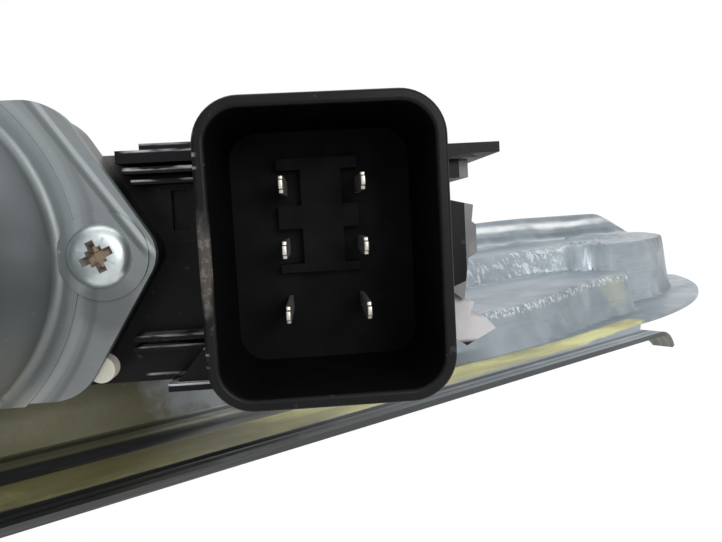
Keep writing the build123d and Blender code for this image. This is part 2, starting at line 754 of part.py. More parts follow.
armature_core = spun(
    (
        (0, can_bush_depth + 2.4),
        (shaft_r - 0.5, can_bush_depth + 2.4),
        (shaft_r, can_bush_depth + 1.9),
        (shaft_r, thread_start + worm_length + 3),
        (worm_root_r, thread_start + worm_length + 2),
        (worm_root_r, thread_start - 2),
        (shaft_r, thread_start - 3),
        (shaft_r, shaft_end + 1.5),
        (1.5, shaft_end),
        (0, shaft_end),
    )
)
lead = gear_module * math.pi
flank_slope = math.tan(math.radians(12))
thread_low = thread_width + 2 * (worm_pitch_r - worm_root_r) * flank_slope
thread_high = thread_width - 2 * (worm_outer_r - worm_pitch_r) * flank_slope
thread_height = worm_outer_r - worm_root_r
thread_seat = 0.25  # the thread starts this far inside the core
with BuildPart() as worm_thread:
    with BuildLine() as spiral:
        Helix(pitch=lead, height=worm_length, radius=worm_root_r)
    path = spiral.wires()[0]
    with BuildSketch(Plane(origin=path @ 0, x_dir=(1, 0, 0), z_dir=path % 0)):
        with BuildLine():
            Polyline(
                (-thread_seat, -thread_low / 2),
                (thread_height, -thread_high / 2),
                (thread_height, thread_high / 2),
                (-thread_seat, thread_low / 2),
                close=True,
            )
        make_face()
    sweep(path=path, is_frenet=True)

# The spiral starts on the side of the worm wheel, a whole number of turns from the wheel's axis.
worm_start = Plane(
    origin=depth(thread_start).origin, x_dir=(-aside[0], -aside[1], 0), z_dir=motor_face.z_dir
)
with BuildPart() as armature_shaft:
    add(armature_core)
    add(worm_thread.part.moved(worm_start.location))
write("armature_shaft", armature_shaft.part)


lamination_start = 9.0
winding_reach = 11.0  # from the laminations to the outside of the can's closed end
lamination_span = (lamination_start, can_length - winding_reach)
slot_count = 10
with BuildPart() as lamination_stack:
    with BuildSketch(depth(lamination_span[0])):
        Circle(lamination_r)
        with PolarLocations(lamination_r - 4.6, slot_count):
            SlotOverall(6.4, 3.4, mode=Mode.SUBTRACT)
        with PolarLocations(lamination_r - 1.0, slot_count):
            Rectangle(4.2, 1.4, mode=Mode.SUBTRACT)
        Circle(shaft_r + 0.02, mode=Mode.SUBTRACT)
    extrude(amount=lamination_span[1] - lamination_span[0])
write("lamination_stack", lamination_stack.part)

winding_r = lamination_r - 1.9
winding_gap = 0.2
slot_bundle_r = 1.4
with BuildPart() as armature_windings:
    for start, length in (
        (lamination_span[0] - winding_gap, -4.8), (lamination_span[1] + winding_gap, 4.8)
    ):
        with BuildSketch(depth(start)):
            Circle(winding_r)
            Circle(shaft_r + 1.6, mode=Mode.SUBTRACT)
        extrude(amount=length)
    ends = armature_windings.faces().filter_by(GeomType.PLANE).sort_by(along_motor)
    fillet((ends[0].edges() + ends[-1].edges()).filter_by(lambda edge: edge.radius > 8), radius=2.4)
    with BuildSketch(depth(lamination_span[0] - 1)):
        with PolarLocations(lamination_r - 4.6, slot_count):
            SlotOverall(6.0, 2 * slot_bundle_r)
    extrude(amount=lamination_span[1] - lamination_span[0] + 2)
write("armature_windings", armature_windings.part)

commutator_span = (-11.5, 2.6)
segment_count = 10
with BuildPart() as commutator:
    with BuildSketch(depth(commutator_span[0])):
        Circle(6.4)
        with PolarLocations(6.4, segment_count):
            Rectangle(1.4, 0.5, mode=Mode.SUBTRACT)
        Circle(shaft_r + 0.02, mode=Mode.SUBTRACT)
    extrude(amount=commutator_span[1] - commutator_span[0])
    with BuildSketch(depth(commutator_span[1])):
        Circle(7.6)
        Circle(shaft_r + 0.02, mode=Mode.SUBTRACT)
    extrude(amount=-1.6)
write("commutator", commutator.part)

ring_span = (-22.0, -17.5)
write("magnet_ring", spun(
    (
        (shaft_r + 0.02, ring_span[0]),
        (6.6, ring_span[0]),
        (6.6, ring_span[1]),
        (shaft_r + 0.02, ring_span[1]),
    )
))


def bush(middle, outer_r):
    bore = shaft_r + running_fit
    low, high = middle - bush_half, middle + bush_half
    return spun(
        (
            (bore + 0.4, low),
            (outer_r - 0.6, low),
            (outer_r, low + 0.6),
            (outer_r, high - 0.6),
            (outer_r - 0.6, high),
            (bore + 0.4, high),
            (bore, high - 0.4),
            (bore, low + 0.4),
        )
    )


bush_r = 6.9
write("can_bush", bush(can_bush_depth, bush_r + 0.1))
write("front_bush", bush(front_bush_depth, bush_r))
write("tail_bush", bush(tail_bush_depth, bush_r - 0.9))
ball_r = 1.9
with BuildPart() as thrust_ball:
    with Locations(motor_face.location * Location((0, 0, shaft_end - ball_r - 0.02))):
        Sphere(ball_r)
write("thrust_ball", thrust_ball.part)

# ---------------------------------------------------------------- brush card
card_span = (-4.6, -2.2)
card_r = 16.6
brush_inner_r = 6.5
brush_outer_r = 11.6
tongue_angle = -31.0
tongue_reach = 32.0
tongue_half_width = 1.7
with BuildPart() as brush_card:
    with BuildSketch(depth(card_span[0])):
        Circle(card_r)
        Circle(9.0, mode=Mode.SUBTRACT)
        with Locations((0, 0)):
            Rectangle(2 * brush_outer_r + 1, 5.4, mode=Mode.SUBTRACT)
        with PolarLocations((card_r + tongue_reach) / 2 - 1, 1, start_angle=tongue_angle):
            Rectangle(tongue_reach - card_r, 2 * tongue_half_width)
        with PolarLocations(tongue_reach - 1, 1, start_angle=tongue_angle):
            Circle(tongue_half_width)
    extrude(amount=card_span[1] - card_span[0])
    # Open boxes that guide the two brushes and their springs
    for side in (-1, 1):
        outer = (side * 8.6, side * (card_r - 0.6))
        block(sorted(outer), (-3.7, 3.7), (-10.2, card_span[0] + 0.01))
        block(sorted((side * 8.0, side * (card_r - 2.0))), (-2.65, 2.65), (-8.8, 1), Mode.SUBTRACT)
write("brush_card", brush_card.part)

with BuildPart() as brushes:
    for side in (-1, 1):
        block(sorted((side * brush_inner_r, side * brush_outer_r)), (-2.5, 2.5), (-8.6, -3.6))
write("brushes", brushes.part)

with BuildPart() as brush_springs:
    spring_length = card_r - 2.1 - brush_outer_r
    for side in (-1, 1):
        spring_x = side * (brush_outer_r + spring_length / 2)
        with Locations(motor_face.location * Location((spring_x, 0, -6.1), (0, 90, 0))):
            Cylinder(2.1, spring_length - 0.1)
            Cylinder(1.3, spring_length, mode=Mode.SUBTRACT)
write("brush_springs", brush_springs.part)


# ---------------------------------------------------------------- worm wheel, damper and output hub
wheel_tip_r = wheel_pitch_r + gear_module
wheel_root_r = wheel_pitch_r - 1.25 * gear_module
tooth_low = tooth_width + 2 * (wheel_pitch_r - wheel_root_r) * flank_slope
tooth_high = tooth_width - 2 * (wheel_tip_r - wheel_pitch_r) * flank_slope
half_face = wheel_face / 2
rim_inner_r = 21.4
damper_seat = 1.2  # the damper's recess reaches this far above the wheel's mid plane
axle_bore_r = axle_r + running_fit
half_space = 180 / wheel_teeth
with BuildPart() as worm_wheel:
    with BuildSketch(level(-half_face)):
        Circle(wheel_root_r)
        with PolarLocations(wheel_root_r - 0.3, wheel_teeth, start_angle=half_space):
            Trapezoid(
                tooth_low, wheel_tip_r - wheel_root_r + 0.3, 90 - 12, rotation=-90,
                align=(Align.CENTER, Align.MIN),
            )
    extrude(amount=wheel_face)
    with BuildSketch(level(-half_face)):
        Circle(rim_inner_r)
        Circle(axle_r + 4, mode=Mode.SUBTRACT)
    extrude(amount=half_face + damper_seat, mode=Mode.SUBTRACT)
    with BuildSketch(level(half_face)):
        Circle(rim_inner_r - 1)
        Circle(axle_r + 5, mode=Mode.SUBTRACT)
        with PolarLocations(14.5, 6):
            Rectangle(14, 1.6, mode=Mode.SUBTRACT)
    extrude(amount=-1.4, mode=Mode.SUBTRACT)
    with BuildSketch(level(-half_face)):
        Circle(axle_bore_r)
    extrude(amount=wheel_face, mode=Mode.SUBTRACT)
write("worm_wheel", worm_wheel.part)

lobe_r = 14.5
lobe_count = 3
with BuildPart() as damper:
    with BuildSketch(level(-half_face + 0.3)):
        Circle(rim_inner_r - 0.2)
        Circle(axle_r + 5, mode=Mode.SUBTRACT)
        with PolarLocations(lobe_r, lobe_count):
            Rectangle(8.2, 7.2, mode=Mode.SUBTRACT)
    extrude(amount=half_face + damper_seat - 0.5)
write("damper", damper.part)

disc_top = -half_face - 0.2
disc_low = disc_top - 2.2
cover_top = -9.6
neck_low = plate_under_z - axis_z
hub_r = 8.0
spline_top = drum_top_z + 0.25 - axis_z
with BuildPart() as output_hub:
    with BuildSketch(level(disc_low)):
        Circle(rim_inner_r - 1)
    extrude(amount=disc_top - disc_low)
    with BuildSketch(level(disc_top)):
        with PolarLocations(lobe_r, lobe_count):
            Rectangle(7.8, 6.8)
    extrude(amount=half_face)
    with BuildSketch(level(spline_top)):
        Circle(hub_r)
    extrude(amount=disc_low - spline_top)
    extrude(spline_section(drum_low_z + 0.6, 0), drum_top_z - drum_low_z)
    with BuildSketch(level(disc_top)):
        Circle(axle_bore_r)
    extrude(amount=-40, mode=Mode.SUBTRACT)
write("output_hub", output_hub.part)

# ---------------------------------------------------------------- gear housing and its cover
chamber_r = wheel_tip_r + 1.0
chamber_top = half_face + 0.7
roof = 2.4
tube_r = 9.5
tube_bore_r = 7.2
tail_depth = -78.0
throat_r = 17.2
throat_depth = -14.0
plate_depth = -8.0
cover_thickness = 1.2
with BuildPart() as gear_housing:
    with BuildSketch(level(cover_top)):
        Circle(chamber_r + housing_wall)
    extrude(amount=chamber_top + roof - cover_top)
    roof_face = gear_housing.faces().sort_by(Axis.Z)[-1]
    fillet(roof_face.edges(), radius=2.0)
    plate_outline = flange_outline(0.8).moved(Location(motor_face.z_dir * -gasket_thickness))
    extrude(plate_outline, plate_depth + gasket_thickness)
    with BuildSketch(depth(plate_depth)):
        Circle(throat_r + housing_wall)
    extrude(amount=-10)
    with BuildSketch(depth(plate_depth)):
        Circle(tube_r)
    extrude(amount=tail_depth - plate_depth)
    block((9, bay_split_x), (bay_bottom, bay_top), (bay_back, plate_depth))
    # Screw columns that stand on the drum plate, an axle boss and ribs on the roof
    with BuildSketch(Plane(origin=(drum_x, drum_y, channel_top_z))):
        for angle in screw_angles:
            with PolarLocations(screw_circle_r, 1, start_angle=angle):
                Circle(5.4)
    extrude(amount=22)
    with BuildSketch(level(chamber_top + roof)):
        Circle(6.5)
        with PolarLocations(14.5, 8):
            Rectangle(19, 1.4)
    extrude(amount=1.1)
    # Chamber, worm bore, bearing seats and throat
    with BuildSketch(level(cover_top)):
        Circle(chamber_r)
    extrude(amount=chamber_top - cover_top, mode=Mode.SUBTRACT)
    with BuildSketch(level(chamber_top)):
        Circle(axle_r + 0.02)
    extrude(amount=2.0, mode=Mode.SUBTRACT)
    with BuildSketch(depth(0)):
        Circle(throat_r)
    extrude(amount=throat_depth, mode=Mode.SUBTRACT)
    with BuildSketch(depth(throat_depth)):
        Circle(tube_bore_r)
    extrude(amount=front_bush_depth + bush_half - throat_depth, mode=Mode.SUBTRACT)
    with BuildSketch(depth(front_bush_depth + bush_half)):
        Circle(bush_r + 0.02)
    extrude(amount=-2 * bush_half, mode=Mode.SUBTRACT)
    with BuildSketch(depth(front_bush_depth - bush_half)):
        Circle(6.2)
    extrude(amount=tail_bush_depth - front_bush_depth + 2 * bush_half, mode=Mode.SUBTRACT)
    with BuildSketch(depth(tail_bush_depth + bush_half)):
        Circle(bush_r - 0.88)
    extrude(amount=-2 * bush_half, mode=Mode.SUBTRACT)
    with BuildSketch(depth(tail_bush_depth - bush_half)):
        Circle(4.4)
    extrude(amount=shaft_end - 0.6 - tail_bush_depth + bush_half, mode=Mode.SUBTRACT)
    with Locations(motor_face.location * Location((0, 0, shaft_end - ball_r - 0.02))):
        Sphere(ball_r + 0.02, mode=Mode.SUBTRACT)
    # Electronics bay, tongue slot, flange screw holes and housing screw holes
    block(
        (11.4, bay_split_x + 1), (bay_bottom + housing_wall, bay_top - housing_wall),
        (bay_back + housing_wall, plate_depth - housing_wall), Mode.SUBTRACT,
    )
    with BuildSketch(depth(card_span[0] - 0.2)):
        with PolarLocations(25, 1, start_angle=tongue_angle):
            Rectangle(20, 2 * tongue_half_width + 0.4)
    extrude(amount=card_span[1] - card_span[0] + 0.4, mode=Mode.SUBTRACT)
    with Locations(*ears(0)):
        Cylinder(1.8, 15, mode=Mode.SUBTRACT)
    with BuildSketch(Plane(origin=(drum_x, drum_y, channel_top_z))):
        for angle in screw_angles:
            with PolarLocations(screw_circle_r, 1, start_angle=angle):
                Circle(2.1)
    extrude(amount=14, mode=Mode.SUBTRACT)
write("gear_housing", gear_housing.part)

with BuildPart() as gear_cover:
    with BuildSketch(level(cover_top)):
        Circle(chamber_r + housing_wall - 0.3)
        with Locations(*[level(0).to_local_coords(Vector(x, y, axis_z)) for x, y in screw_spots]):
            Circle(5.7, mode=Mode.SUBTRACT)
    extrude(amount=-cover_thickness)
    with BuildSketch(level(cover_top - cover_thickness)):
        Circle(hub_r + 1.9)
    extrude(amount=neck_low - cover_top + cover_thickness)
    with BuildSketch(level(cover_top)):
        Circle(hub_r + 0.7)
    extrude(amount=neck_low - cover_top, mode=Mode.SUBTRACT)
write("gear_cover", gear_cover.part)

with BuildPart() as wheel_axle:
    with BuildSketch(level(chamber_top + 1.98)):
        Circle(axle_r)
    extrude(amount=drum_low_z + 0.8 - axis_z - chamber_top - 1.98)
    chamfer(wheel_axle.edges().group_by(Axis.Z)[0], length=0.5)
write("wheel_axle", wheel_axle.part)

with BuildPart() as housing_screws:
    under_ear_z = plate_under_z - ear_thickness
    for x, y in screw_spots:
        with Locations((x, y, under_ear_z)):
            Cylinder(4.4, 2.4, align=(Align.CENTER, Align.CENTER, Align.MAX))
            Cylinder(2.05, 17, align=(Align.CENTER, Align.CENTER, Align.MIN))
            Cylinder(1.7, 4.0, mode=Mode.SUBTRACT)
write("housing_screws", housing_screws.part)


# ---------------------------------------------------------------- connector module, board and terminals
module_edge = connector_x + connector_width / 2
shell_back = -13.0
board_top = -13.6
board_thickness = 1.6


def shell_section(distance, inset):
    """The connector's rounded outline on a plane across the armature axis."""
    with BuildSketch(depth(distance)) as outline:
        with Locations((connector_x, connector_y)):
            RectangleRounded(
                connector_width - 2 * inset, connector_tall - 2 * inset, connector_corner_r - inset
            )
    return outline.sketch


blade_spots = [
    (connector_x + column * blade_pitch_x / 2, connector_y + row * blade_pitch_y)
    for column in (-1, 1)
    for row in (-1, 0, 1)
]
with BuildPart() as connector_module:
    block((bay_split_x, module_edge), (bay_bottom, bay_top), (bay_back, plate_depth))
    extrude(shell_section(shell_back, 0), connector_rim - shell_back)
    # Shelf, raised tab and two guide ribs beside the shell's top
    shelf_end = connector_x - connector_width / 2 + 1
    block((bay_split_x, shelf_end), (bay_top - 1.6, bay_top), (plate_depth, -3))
    block((bay_split_x + 2.8, shelf_end), (bay_top, bay_top + 0.9), (-14, -4))
    block((bay_split_x + 0.6, shelf_end), (9.5, 10.3), (plate_depth, -3.4))
    block((bay_split_x + 1.4, shelf_end), (8.2, 8.8), (plate_depth, -4.4))
    # Ledges, lower panel, gusset and bracket beside the shell's bottom
    block((bay_split_x, shelf_end), (-12.2, -11.4), (plate_depth, -5.0))
    block((bay_split_x, shelf_end), (-13.5, -12.8), (plate_depth, -5.0))
    block((34.0, shelf_end + 1), (-18.0, -17.0), (plate_depth, -0.5))
    with BuildSketch(depth(-1.2)):
        with BuildLine():
            Polyline((35.0, -17.0), (39.0, -12.4), (41.5, -12.4), (41.5, -17.0), close=True)
        make_face()
    extrude(amount=-7.2)
    # Fin, ribs and latch hook on the shell's free side
    block((module_edge - 1, module_edge + 5.0), (9.3, 10.5), (-12, 6))
    block((module_edge - 1, module_edge + 3.2), (8.7, 9.4), (-12, 6))
    block((module_edge - 1, module_edge + 1.9), (6.6, 8.8), (-12, 4))
    block((module_edge - 1, module_edge + 1.9), (-6.1, 4.2), (-12, 6))
    block((module_edge - 1, module_edge + 3.0), (-4.0, 2.6), (-13, -2))
    with BuildSketch(depth(5)):
        with BuildLine():
            Polyline(
                (module_edge - 1, -6.0), (module_edge + 2.0, -6.0), (module_edge + 4.6, -8.0),
                (module_edge + 2.4, -8.6), (module_edge + 4.9, -9.0), (module_edge + 5.2, -11.0),
                (module_edge + 2.0, -11.8), (module_edge - 1, -11.8), close=True,
            )
        make_face()
    extrude(amount=-9)
    # Socket, then the hollow for the circuit board
    extrude(shell_section(socket_floor, connector_wall), connector_rim - socket_floor + 1, mode=Mode.SUBTRACT)
    block(
        (bay_split_x - 1, module_edge - 2.4), (bay_bottom + 2.4, bay_top - 2.4),
        (bay_back + 2.4, shell_back), Mode.SUBTRACT,
    )
    # Raised island on the socket's floor, and the terminals' slots
    block(
        (connector_x - 6.0, connector_x + 5.0), (connector_y - 3.6, connector_y + 12),
        (socket_floor - 0.5, socket_floor + 2),
    )
    for x, y in blade_spots:
        block((x - 2.2, x + 2.2), (y - 2.4, y + 2.4), (socket_floor, socket_floor + 3), Mode.SUBTRACT)
        block(
            (x - blade_thickness / 2 - 0.02, x + blade_thickness / 2 + 0.02),
            (y - blade_width / 2 - 0.02, y + blade_width / 2 + 0.02),
            (shell_back - 1, socket_floor + 1), Mode.SUBTRACT,
        )
    # Recess in the front panel between the motor flange and the shell
    block((34.6, 36.8), (2.1, 7.4), (plate_depth - 1.2, plate_depth + 1), Mode.SUBTRACT)
    rim = connector_module.faces().sort_by(along_motor)[-1]
    fillet(rim.edges(), radius=0.45)
write("connector_module", connector_module.part)

with BuildPart() as terminals:
    for x, y in blade_spots:
        leg_depth = shell_back - 5.0 - (y - connector_y + blade_pitch_y) * 0.75
        side = (x - blade_thickness / 2, x + blade_thickness / 2)
        block(side, (y - blade_width / 2, y + blade_width / 2), (leg_depth - 1, blade_tip - 0.8))
        block(side, (y - blade_width / 2 + 0.5, y + blade_width / 2 - 0.5), (blade_tip - 0.9, blade_tip))
        block(side, (board_top - board_thickness, y), (leg_depth - 1, leg_depth + 1))
write("terminals", terminals.part)

board_span_x = (13.0, module_edge - 4)
board_span_z = (bay_back + 4, shell_back - 1.5)
with BuildPart() as circuit_board:
    block(board_span_x, (board_top - board_thickness, board_top), board_span_z)
    for x, y in blade_spots:
        leg_depth = shell_back - 5.0 - (y - connector_y + blade_pitch_y) * 0.75
        block(
            (x - blade_thickness / 2 - 0.02, x + blade_thickness / 2 + 0.02), (board_top - 3, board_top + 1),
            (leg_depth - 1.02, leg_depth + 1.02), Mode.SUBTRACT,
        )
write("circuit_board", circuit_board.part)

with BuildPart() as board_components:
    block((18, 31), (board_top, board_top + 12), (-42, -26))  # relay
    block((33, 42), (board_top, board_top + 1.8), (-40, -31))  # controller
    block((14.5, 17), (board_top, board_top + 2.0), (-24, -18))  # speed sensor
    with Locations(*[motor_face.location * Location((x, board_top, -37), (-90, 0, 0)) for x in (48, 58)]):
        Cylinder(3.6, 9, align=(Align.CENTER, Align.CENTER, Align.MIN))
write("board_components", board_components.part)
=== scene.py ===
"""Dressed model of a cable window regulator: rail, gear motor, connector and studio."""

import json
import math

import bpy
from mathutils import Matrix, Vector

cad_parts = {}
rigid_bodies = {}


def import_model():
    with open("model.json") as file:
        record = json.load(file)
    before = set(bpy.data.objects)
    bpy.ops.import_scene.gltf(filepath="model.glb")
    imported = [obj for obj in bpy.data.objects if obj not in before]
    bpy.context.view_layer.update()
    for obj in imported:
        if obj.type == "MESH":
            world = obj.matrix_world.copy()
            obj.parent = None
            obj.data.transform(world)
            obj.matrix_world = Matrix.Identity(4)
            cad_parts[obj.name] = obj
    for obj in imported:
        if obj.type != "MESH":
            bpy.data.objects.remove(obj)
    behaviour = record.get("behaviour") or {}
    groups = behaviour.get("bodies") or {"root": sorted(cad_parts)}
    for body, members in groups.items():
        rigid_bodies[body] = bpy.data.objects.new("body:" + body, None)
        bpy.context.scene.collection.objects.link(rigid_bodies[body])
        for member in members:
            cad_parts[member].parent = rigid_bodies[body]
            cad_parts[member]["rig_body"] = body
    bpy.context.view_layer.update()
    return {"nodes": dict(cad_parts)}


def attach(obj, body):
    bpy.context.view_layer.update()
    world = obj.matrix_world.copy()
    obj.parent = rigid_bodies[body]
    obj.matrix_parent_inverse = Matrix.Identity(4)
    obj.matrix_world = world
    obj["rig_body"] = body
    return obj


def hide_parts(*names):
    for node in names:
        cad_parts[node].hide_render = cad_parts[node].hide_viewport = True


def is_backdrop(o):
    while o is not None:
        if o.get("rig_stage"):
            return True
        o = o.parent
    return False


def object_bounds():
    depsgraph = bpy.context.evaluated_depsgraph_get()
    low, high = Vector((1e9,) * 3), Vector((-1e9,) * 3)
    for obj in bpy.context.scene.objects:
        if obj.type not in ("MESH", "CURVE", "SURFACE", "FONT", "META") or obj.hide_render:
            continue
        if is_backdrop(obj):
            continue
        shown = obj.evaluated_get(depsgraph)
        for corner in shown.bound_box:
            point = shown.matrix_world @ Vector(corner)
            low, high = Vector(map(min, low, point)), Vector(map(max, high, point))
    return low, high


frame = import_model()

bl_info = {
    "name": "Window Regulator Dresser",
    "version": (1, 0, 0),
    "blender": (4, 5, 0),
    "location": "3D View > Sidebar > Regulator",
    "description": "Models the pressed rail, motor and connector, their finishes and a studio",
    "category": "Object",
}

MM = 0.001
STRIP_Z = -21.5  # upper face of the running strip, mm

# The gear motor's own frame: x to the connector's side, y up, z towards the can's closed end
YAW = math.radians(53.8)
AWAY = Vector((math.cos(YAW), math.sin(YAW), 0))
ASIDE = Vector((AWAY.y, -AWAY.x, 0))
DRUM = Vector((61.6, 11.4, 0))
MOTOR_ORIGIN = DRUM + 30.05 * ASIDE - 48.0 * AWAY + Vector((0, 0, 12.0))
MOTOR_AXES = Matrix((ASIDE, Vector((0, 0, 1)), -AWAY)).transposed()


def motor_point(across, up, along):
    """Millimetres in the gear motor's frame to metres in the shared frame."""
    return (MOTOR_ORIGIN + MOTOR_AXES @ Vector((across, up, along))) * MM


def in_motor(place):
    """Metres in the shared frame to millimetres in the gear motor's frame."""
    return MOTOR_AXES.transposed() @ (place / MM - MOTOR_ORIGIN)


# ---------------- settings
class RailSizes(bpy.types.PropertyGroup):
    """Sizes of the pressed rail."""

    sheet: bpy.props.FloatProperty(
        name="Sheet", description="Thickness of the pressed steel", default=1.2 * MM, unit="LENGTH"
    )
    soft: bpy.props.FloatProperty(
        name="Wall run", description="How far a pressed wall takes to rise", default=5.0 * MM, unit="LENGTH"
    )
    grid: bpy.props.FloatProperty(
        name="Grid", description="Spacing of the modelled surface", default=1.25 * MM, unit="LENGTH"
    )


class FinishColours(bpy.types.PropertyGroup):
    """Colours of the finishes."""

    zinc: bpy.props.FloatVectorProperty(
        name="Galvanised", description="Pale zinc of the rail",
        default=(0.345, 0.395, 0.43), size=3, subtype="COLOR",
    )
    zinc_shade: bpy.props.FloatVectorProperty(
        name="Galvanised shade", description="Darker spangle of the rail",
        default=(0.215, 0.255, 0.285), size=3, subtype="COLOR",
    )
    chromate: bpy.props.FloatVectorProperty(
        name="Chromate", description="Yellow passivation on the lip",
        default=(0.55, 0.50, 0.17), size=3, subtype="COLOR",
    )
    can: bpy.props.FloatVectorProperty(
        name="Motor can", description="Dull zinc plate of the can",
        default=(0.185, 0.20, 0.205), size=3, subtype="COLOR",
    )
    plastic: bpy.props.FloatVectorProperty(
        name="Plastic", description="Black glass-filled plastic",
        default=(0.0058, 0.0058, 0.0062), size=3, subtype="COLOR",
    )


class StudioSettings(bpy.types.PropertyGroup):
    """Light and camera of the studio."""

    key_power: bpy.props.FloatProperty(
        name="Key", description="Power of the soft light overhead", default=5.0, unit="POWER"
    )
    fill_power: bpy.props.FloatProperty(
        name="Fill", description="Power of the soft light beside the camera", default=1.0, unit="POWER"
    )
    low_power: bpy.props.FloatProperty(
        name="Low light", description="Power of the soft light low in front of the rail", default=2.4,
        unit="POWER",
    )
    ambient: bpy.props.FloatProperty(
        name="Ambient", description="Strength of the surrounding light on matt surfaces", default=0.42,
        subtype="FACTOR",
    )
    lens: bpy.props.FloatProperty(
        name="Lens", description="Focal length on a 36 mm sensor, in millimetres", default=34.9,
        unit="CAMERA",
    )


def sizes():
    return bpy.context.scene.rail_sizes


def colours():
    return bpy.context.scene.finish_colours


# ---------------- node helpers
def is_socket(value):
    return isinstance(value, bpy.types.NodeSocket)


def fill(node, values):
    """Links a node's inputs to sockets and sets the ones that are plain values."""
    for key, value in values.items():
        if is_socket(value):
            node.id_data.links.new(value, node.inputs[key])
        else:
            node.inputs[key].default_value = value


def add_node(kind, settings, inputs, tree=None):
    """A shader node in the given tree, or in the tree of the first socket among its inputs."""
    tree = tree or next(value.id_data for value in inputs.values() if is_socket(value))
    made = tree.nodes.new("ShaderNode" + kind)
    for key, value in settings.items():
        setattr(made, key, value)
    fill(made, inputs)
    return made


def maths(operation, *values):
    """One Math node and its output socket."""
    return add_node("Math", {"operation": operation}, dict(enumerate(values))).outputs[0]


def product(first, *others):
    """Values multiplied one after the other."""
    for other in others:
        first = maths("MULTIPLY", first, other)
    return first


def ramp(value, low, high, start=0.0, end=1.0):
    """Value between low and high, taken smoothly to start and end."""
    settings = {"interpolation_type": "SMOOTHSTEP"}
    inputs = {"Value": value, "From Min": low, "From Max": high, "To Min": start, "To Max": end}
    return add_node("MapRange", settings, inputs).outputs["Result"]


def ramp_mm(value, low, high, start=0.0, end=1.0):
    """The same for a place, with low and high in millimetres."""
    return ramp(value, low * MM, high * MM, start, end)


def blend(factor, first, second):
    """Colours mixed by a factor."""
    first, second = (value if is_socket(value) else (*value, 1) for value in (first, second))
    return add_node("Mix", {"data_type": "RGBA"}, {0: factor, 6: first, 7: second}).outputs[2]


def tint(colour, mask, share, added):
    """A colour with a share of another one laid over it where the mask is."""
    return blend(product(mask, share), colour, added)


def noise(vector, scale, detail, roughness=0.5):
    inputs = {"Vector": vector, "Scale": scale, "Detail": detail, "Roughness": roughness}
    return add_node("TexNoise", {}, inputs).outputs["Fac"]


def stretched(coords, scale):
    """Coordinates scaled apart, for streaks."""
    return add_node("Mapping", {}, {"Vector": coords, "Scale": scale}).outputs["Vector"]


def streaks(coords, scale, detail):
    """Noise drawn out along the axes with the smaller scales."""
    return noise(stretched(coords, scale), 1.0, detail)


def wander(value, reach):
    """A noise value turned into a shift to both sides, in metres from a reach in millimetres."""
    return product(maths("SUBTRACT", value, 0.5), reach * MM)


def axis_parts(coords):
    """The x, y and z sockets of coordinates."""
    parts = add_node("SeparateXYZ", {}, {0: coords}).outputs
    return parts["X"], parts["Y"], parts["Z"]


def bump(height, distance, strength=1.0):
    inputs = {"Height": height, "Distance": distance, "Strength": strength}
    return add_node("Bump", {}, inputs).outputs["Normal"]


# ---------------- shared effects
def new_group(name, inputs, outputs):
    """An empty shader group: the sockets of what comes in and the node of what goes out."""
    group = bpy.data.node_groups.new(name, "ShaderNodeTree")
    for socket_name, kind, default in inputs:
        socket = group.interface.new_socket(socket_name, in_out="INPUT", socket_type="NodeSocket" + kind)
        if default is not None:
            socket.default_value = default
    for socket_name, kind in outputs:
        group.interface.new_socket(socket_name, in_out="OUTPUT", socket_type="NodeSocket" + kind)
    return group.nodes.new("NodeGroupInput").outputs, group.nodes.new("NodeGroupOutput")


def mottle_group():
    """Uneven colour between a light and a dark one."""
    inputs = [
        ("Vector", "Vector", None), ("Scale", "Float", 60.0), ("Light", "Color", (0.5, 0.5, 0.5, 1)),
        ("Dark", "Color", (0.3, 0.3, 0.3, 1)), ("Contrast", "Float", 0.5),
    ]
    given, sink = new_group("Mottle", inputs, [("Colour", "Color"), ("Mask", "Float")])
    coarse = noise(given["Vector"], given["Scale"], 5.0, 0.6)
    finer = product(given["Scale"], 4.0)
    cell_inputs = {"Vector": given["Vector"], "Scale": finer, "Randomness": 1.0}
    cells = add_node("TexVoronoi", {"feature": "SMOOTH_F1"}, cell_inputs)
    cell_tone = add_node("SeparateColor", {}, {0: cells.outputs["Color"]}).outputs[0]
    mixed = maths("ADD", product(coarse, 0.75), product(cell_tone, 0.25))
    half = product(given["Contrast"], 0.5)
    mask = ramp(mixed, maths("SUBTRACT", 0.5, half), maths("ADD", 0.5, half))
    fill(sink, {"Mask": mask, "Colour": blend(mask, given["Dark"], given["Light"])})


def scratches_group():
    """Thin lines where noise passes a threshold."""
    inputs = [("Vector", "Vector", None), ("Scale", "Float", 200.0), ("Amount", "Float", 0.5)]
    given, sink = new_group("Scratches", inputs, [("Mask", "Float")])
    lines = noise(given["Vector"], given["Scale"], 3.0, 0.7)
    threshold = maths("SUBTRACT", 0.72, product(given["Amount"], 0.22))
    fill(sink, {"Mask": ramp(lines, threshold, maths("ADD", threshold, 0.05))})


def grain_group():
    """Fine height for a bump."""
    inputs = [("Vector", "Vector", None), ("Scale", "Float", 900.0)]
    given, sink = new_group("Grain", inputs, [("Height", "Float")])
    fill(sink, {"Height": noise(given["Vector"], given["Scale"], 4.0, 0.65)})


def band_group():
    """One where a value lies within a half width of the middle, with soft sides."""
    inputs = [
        ("Value", "Float", 0.0), ("Middle", "Float", 0.0), ("Half", "Float", 0.005),
        ("Fade", "Float", 0.001),
    ]
    given, sink = new_group("Band", inputs, [("Mask", "Float")])
    off = maths("ABSOLUTE", maths("SUBTRACT", given["Value"], given["Middle"]))
    inner = maths("SUBTRACT", given["Half"], given["Fade"])
    fill(sink, {"Mask": ramp(off, inner, given["Half"], 1.0, 0.0)})


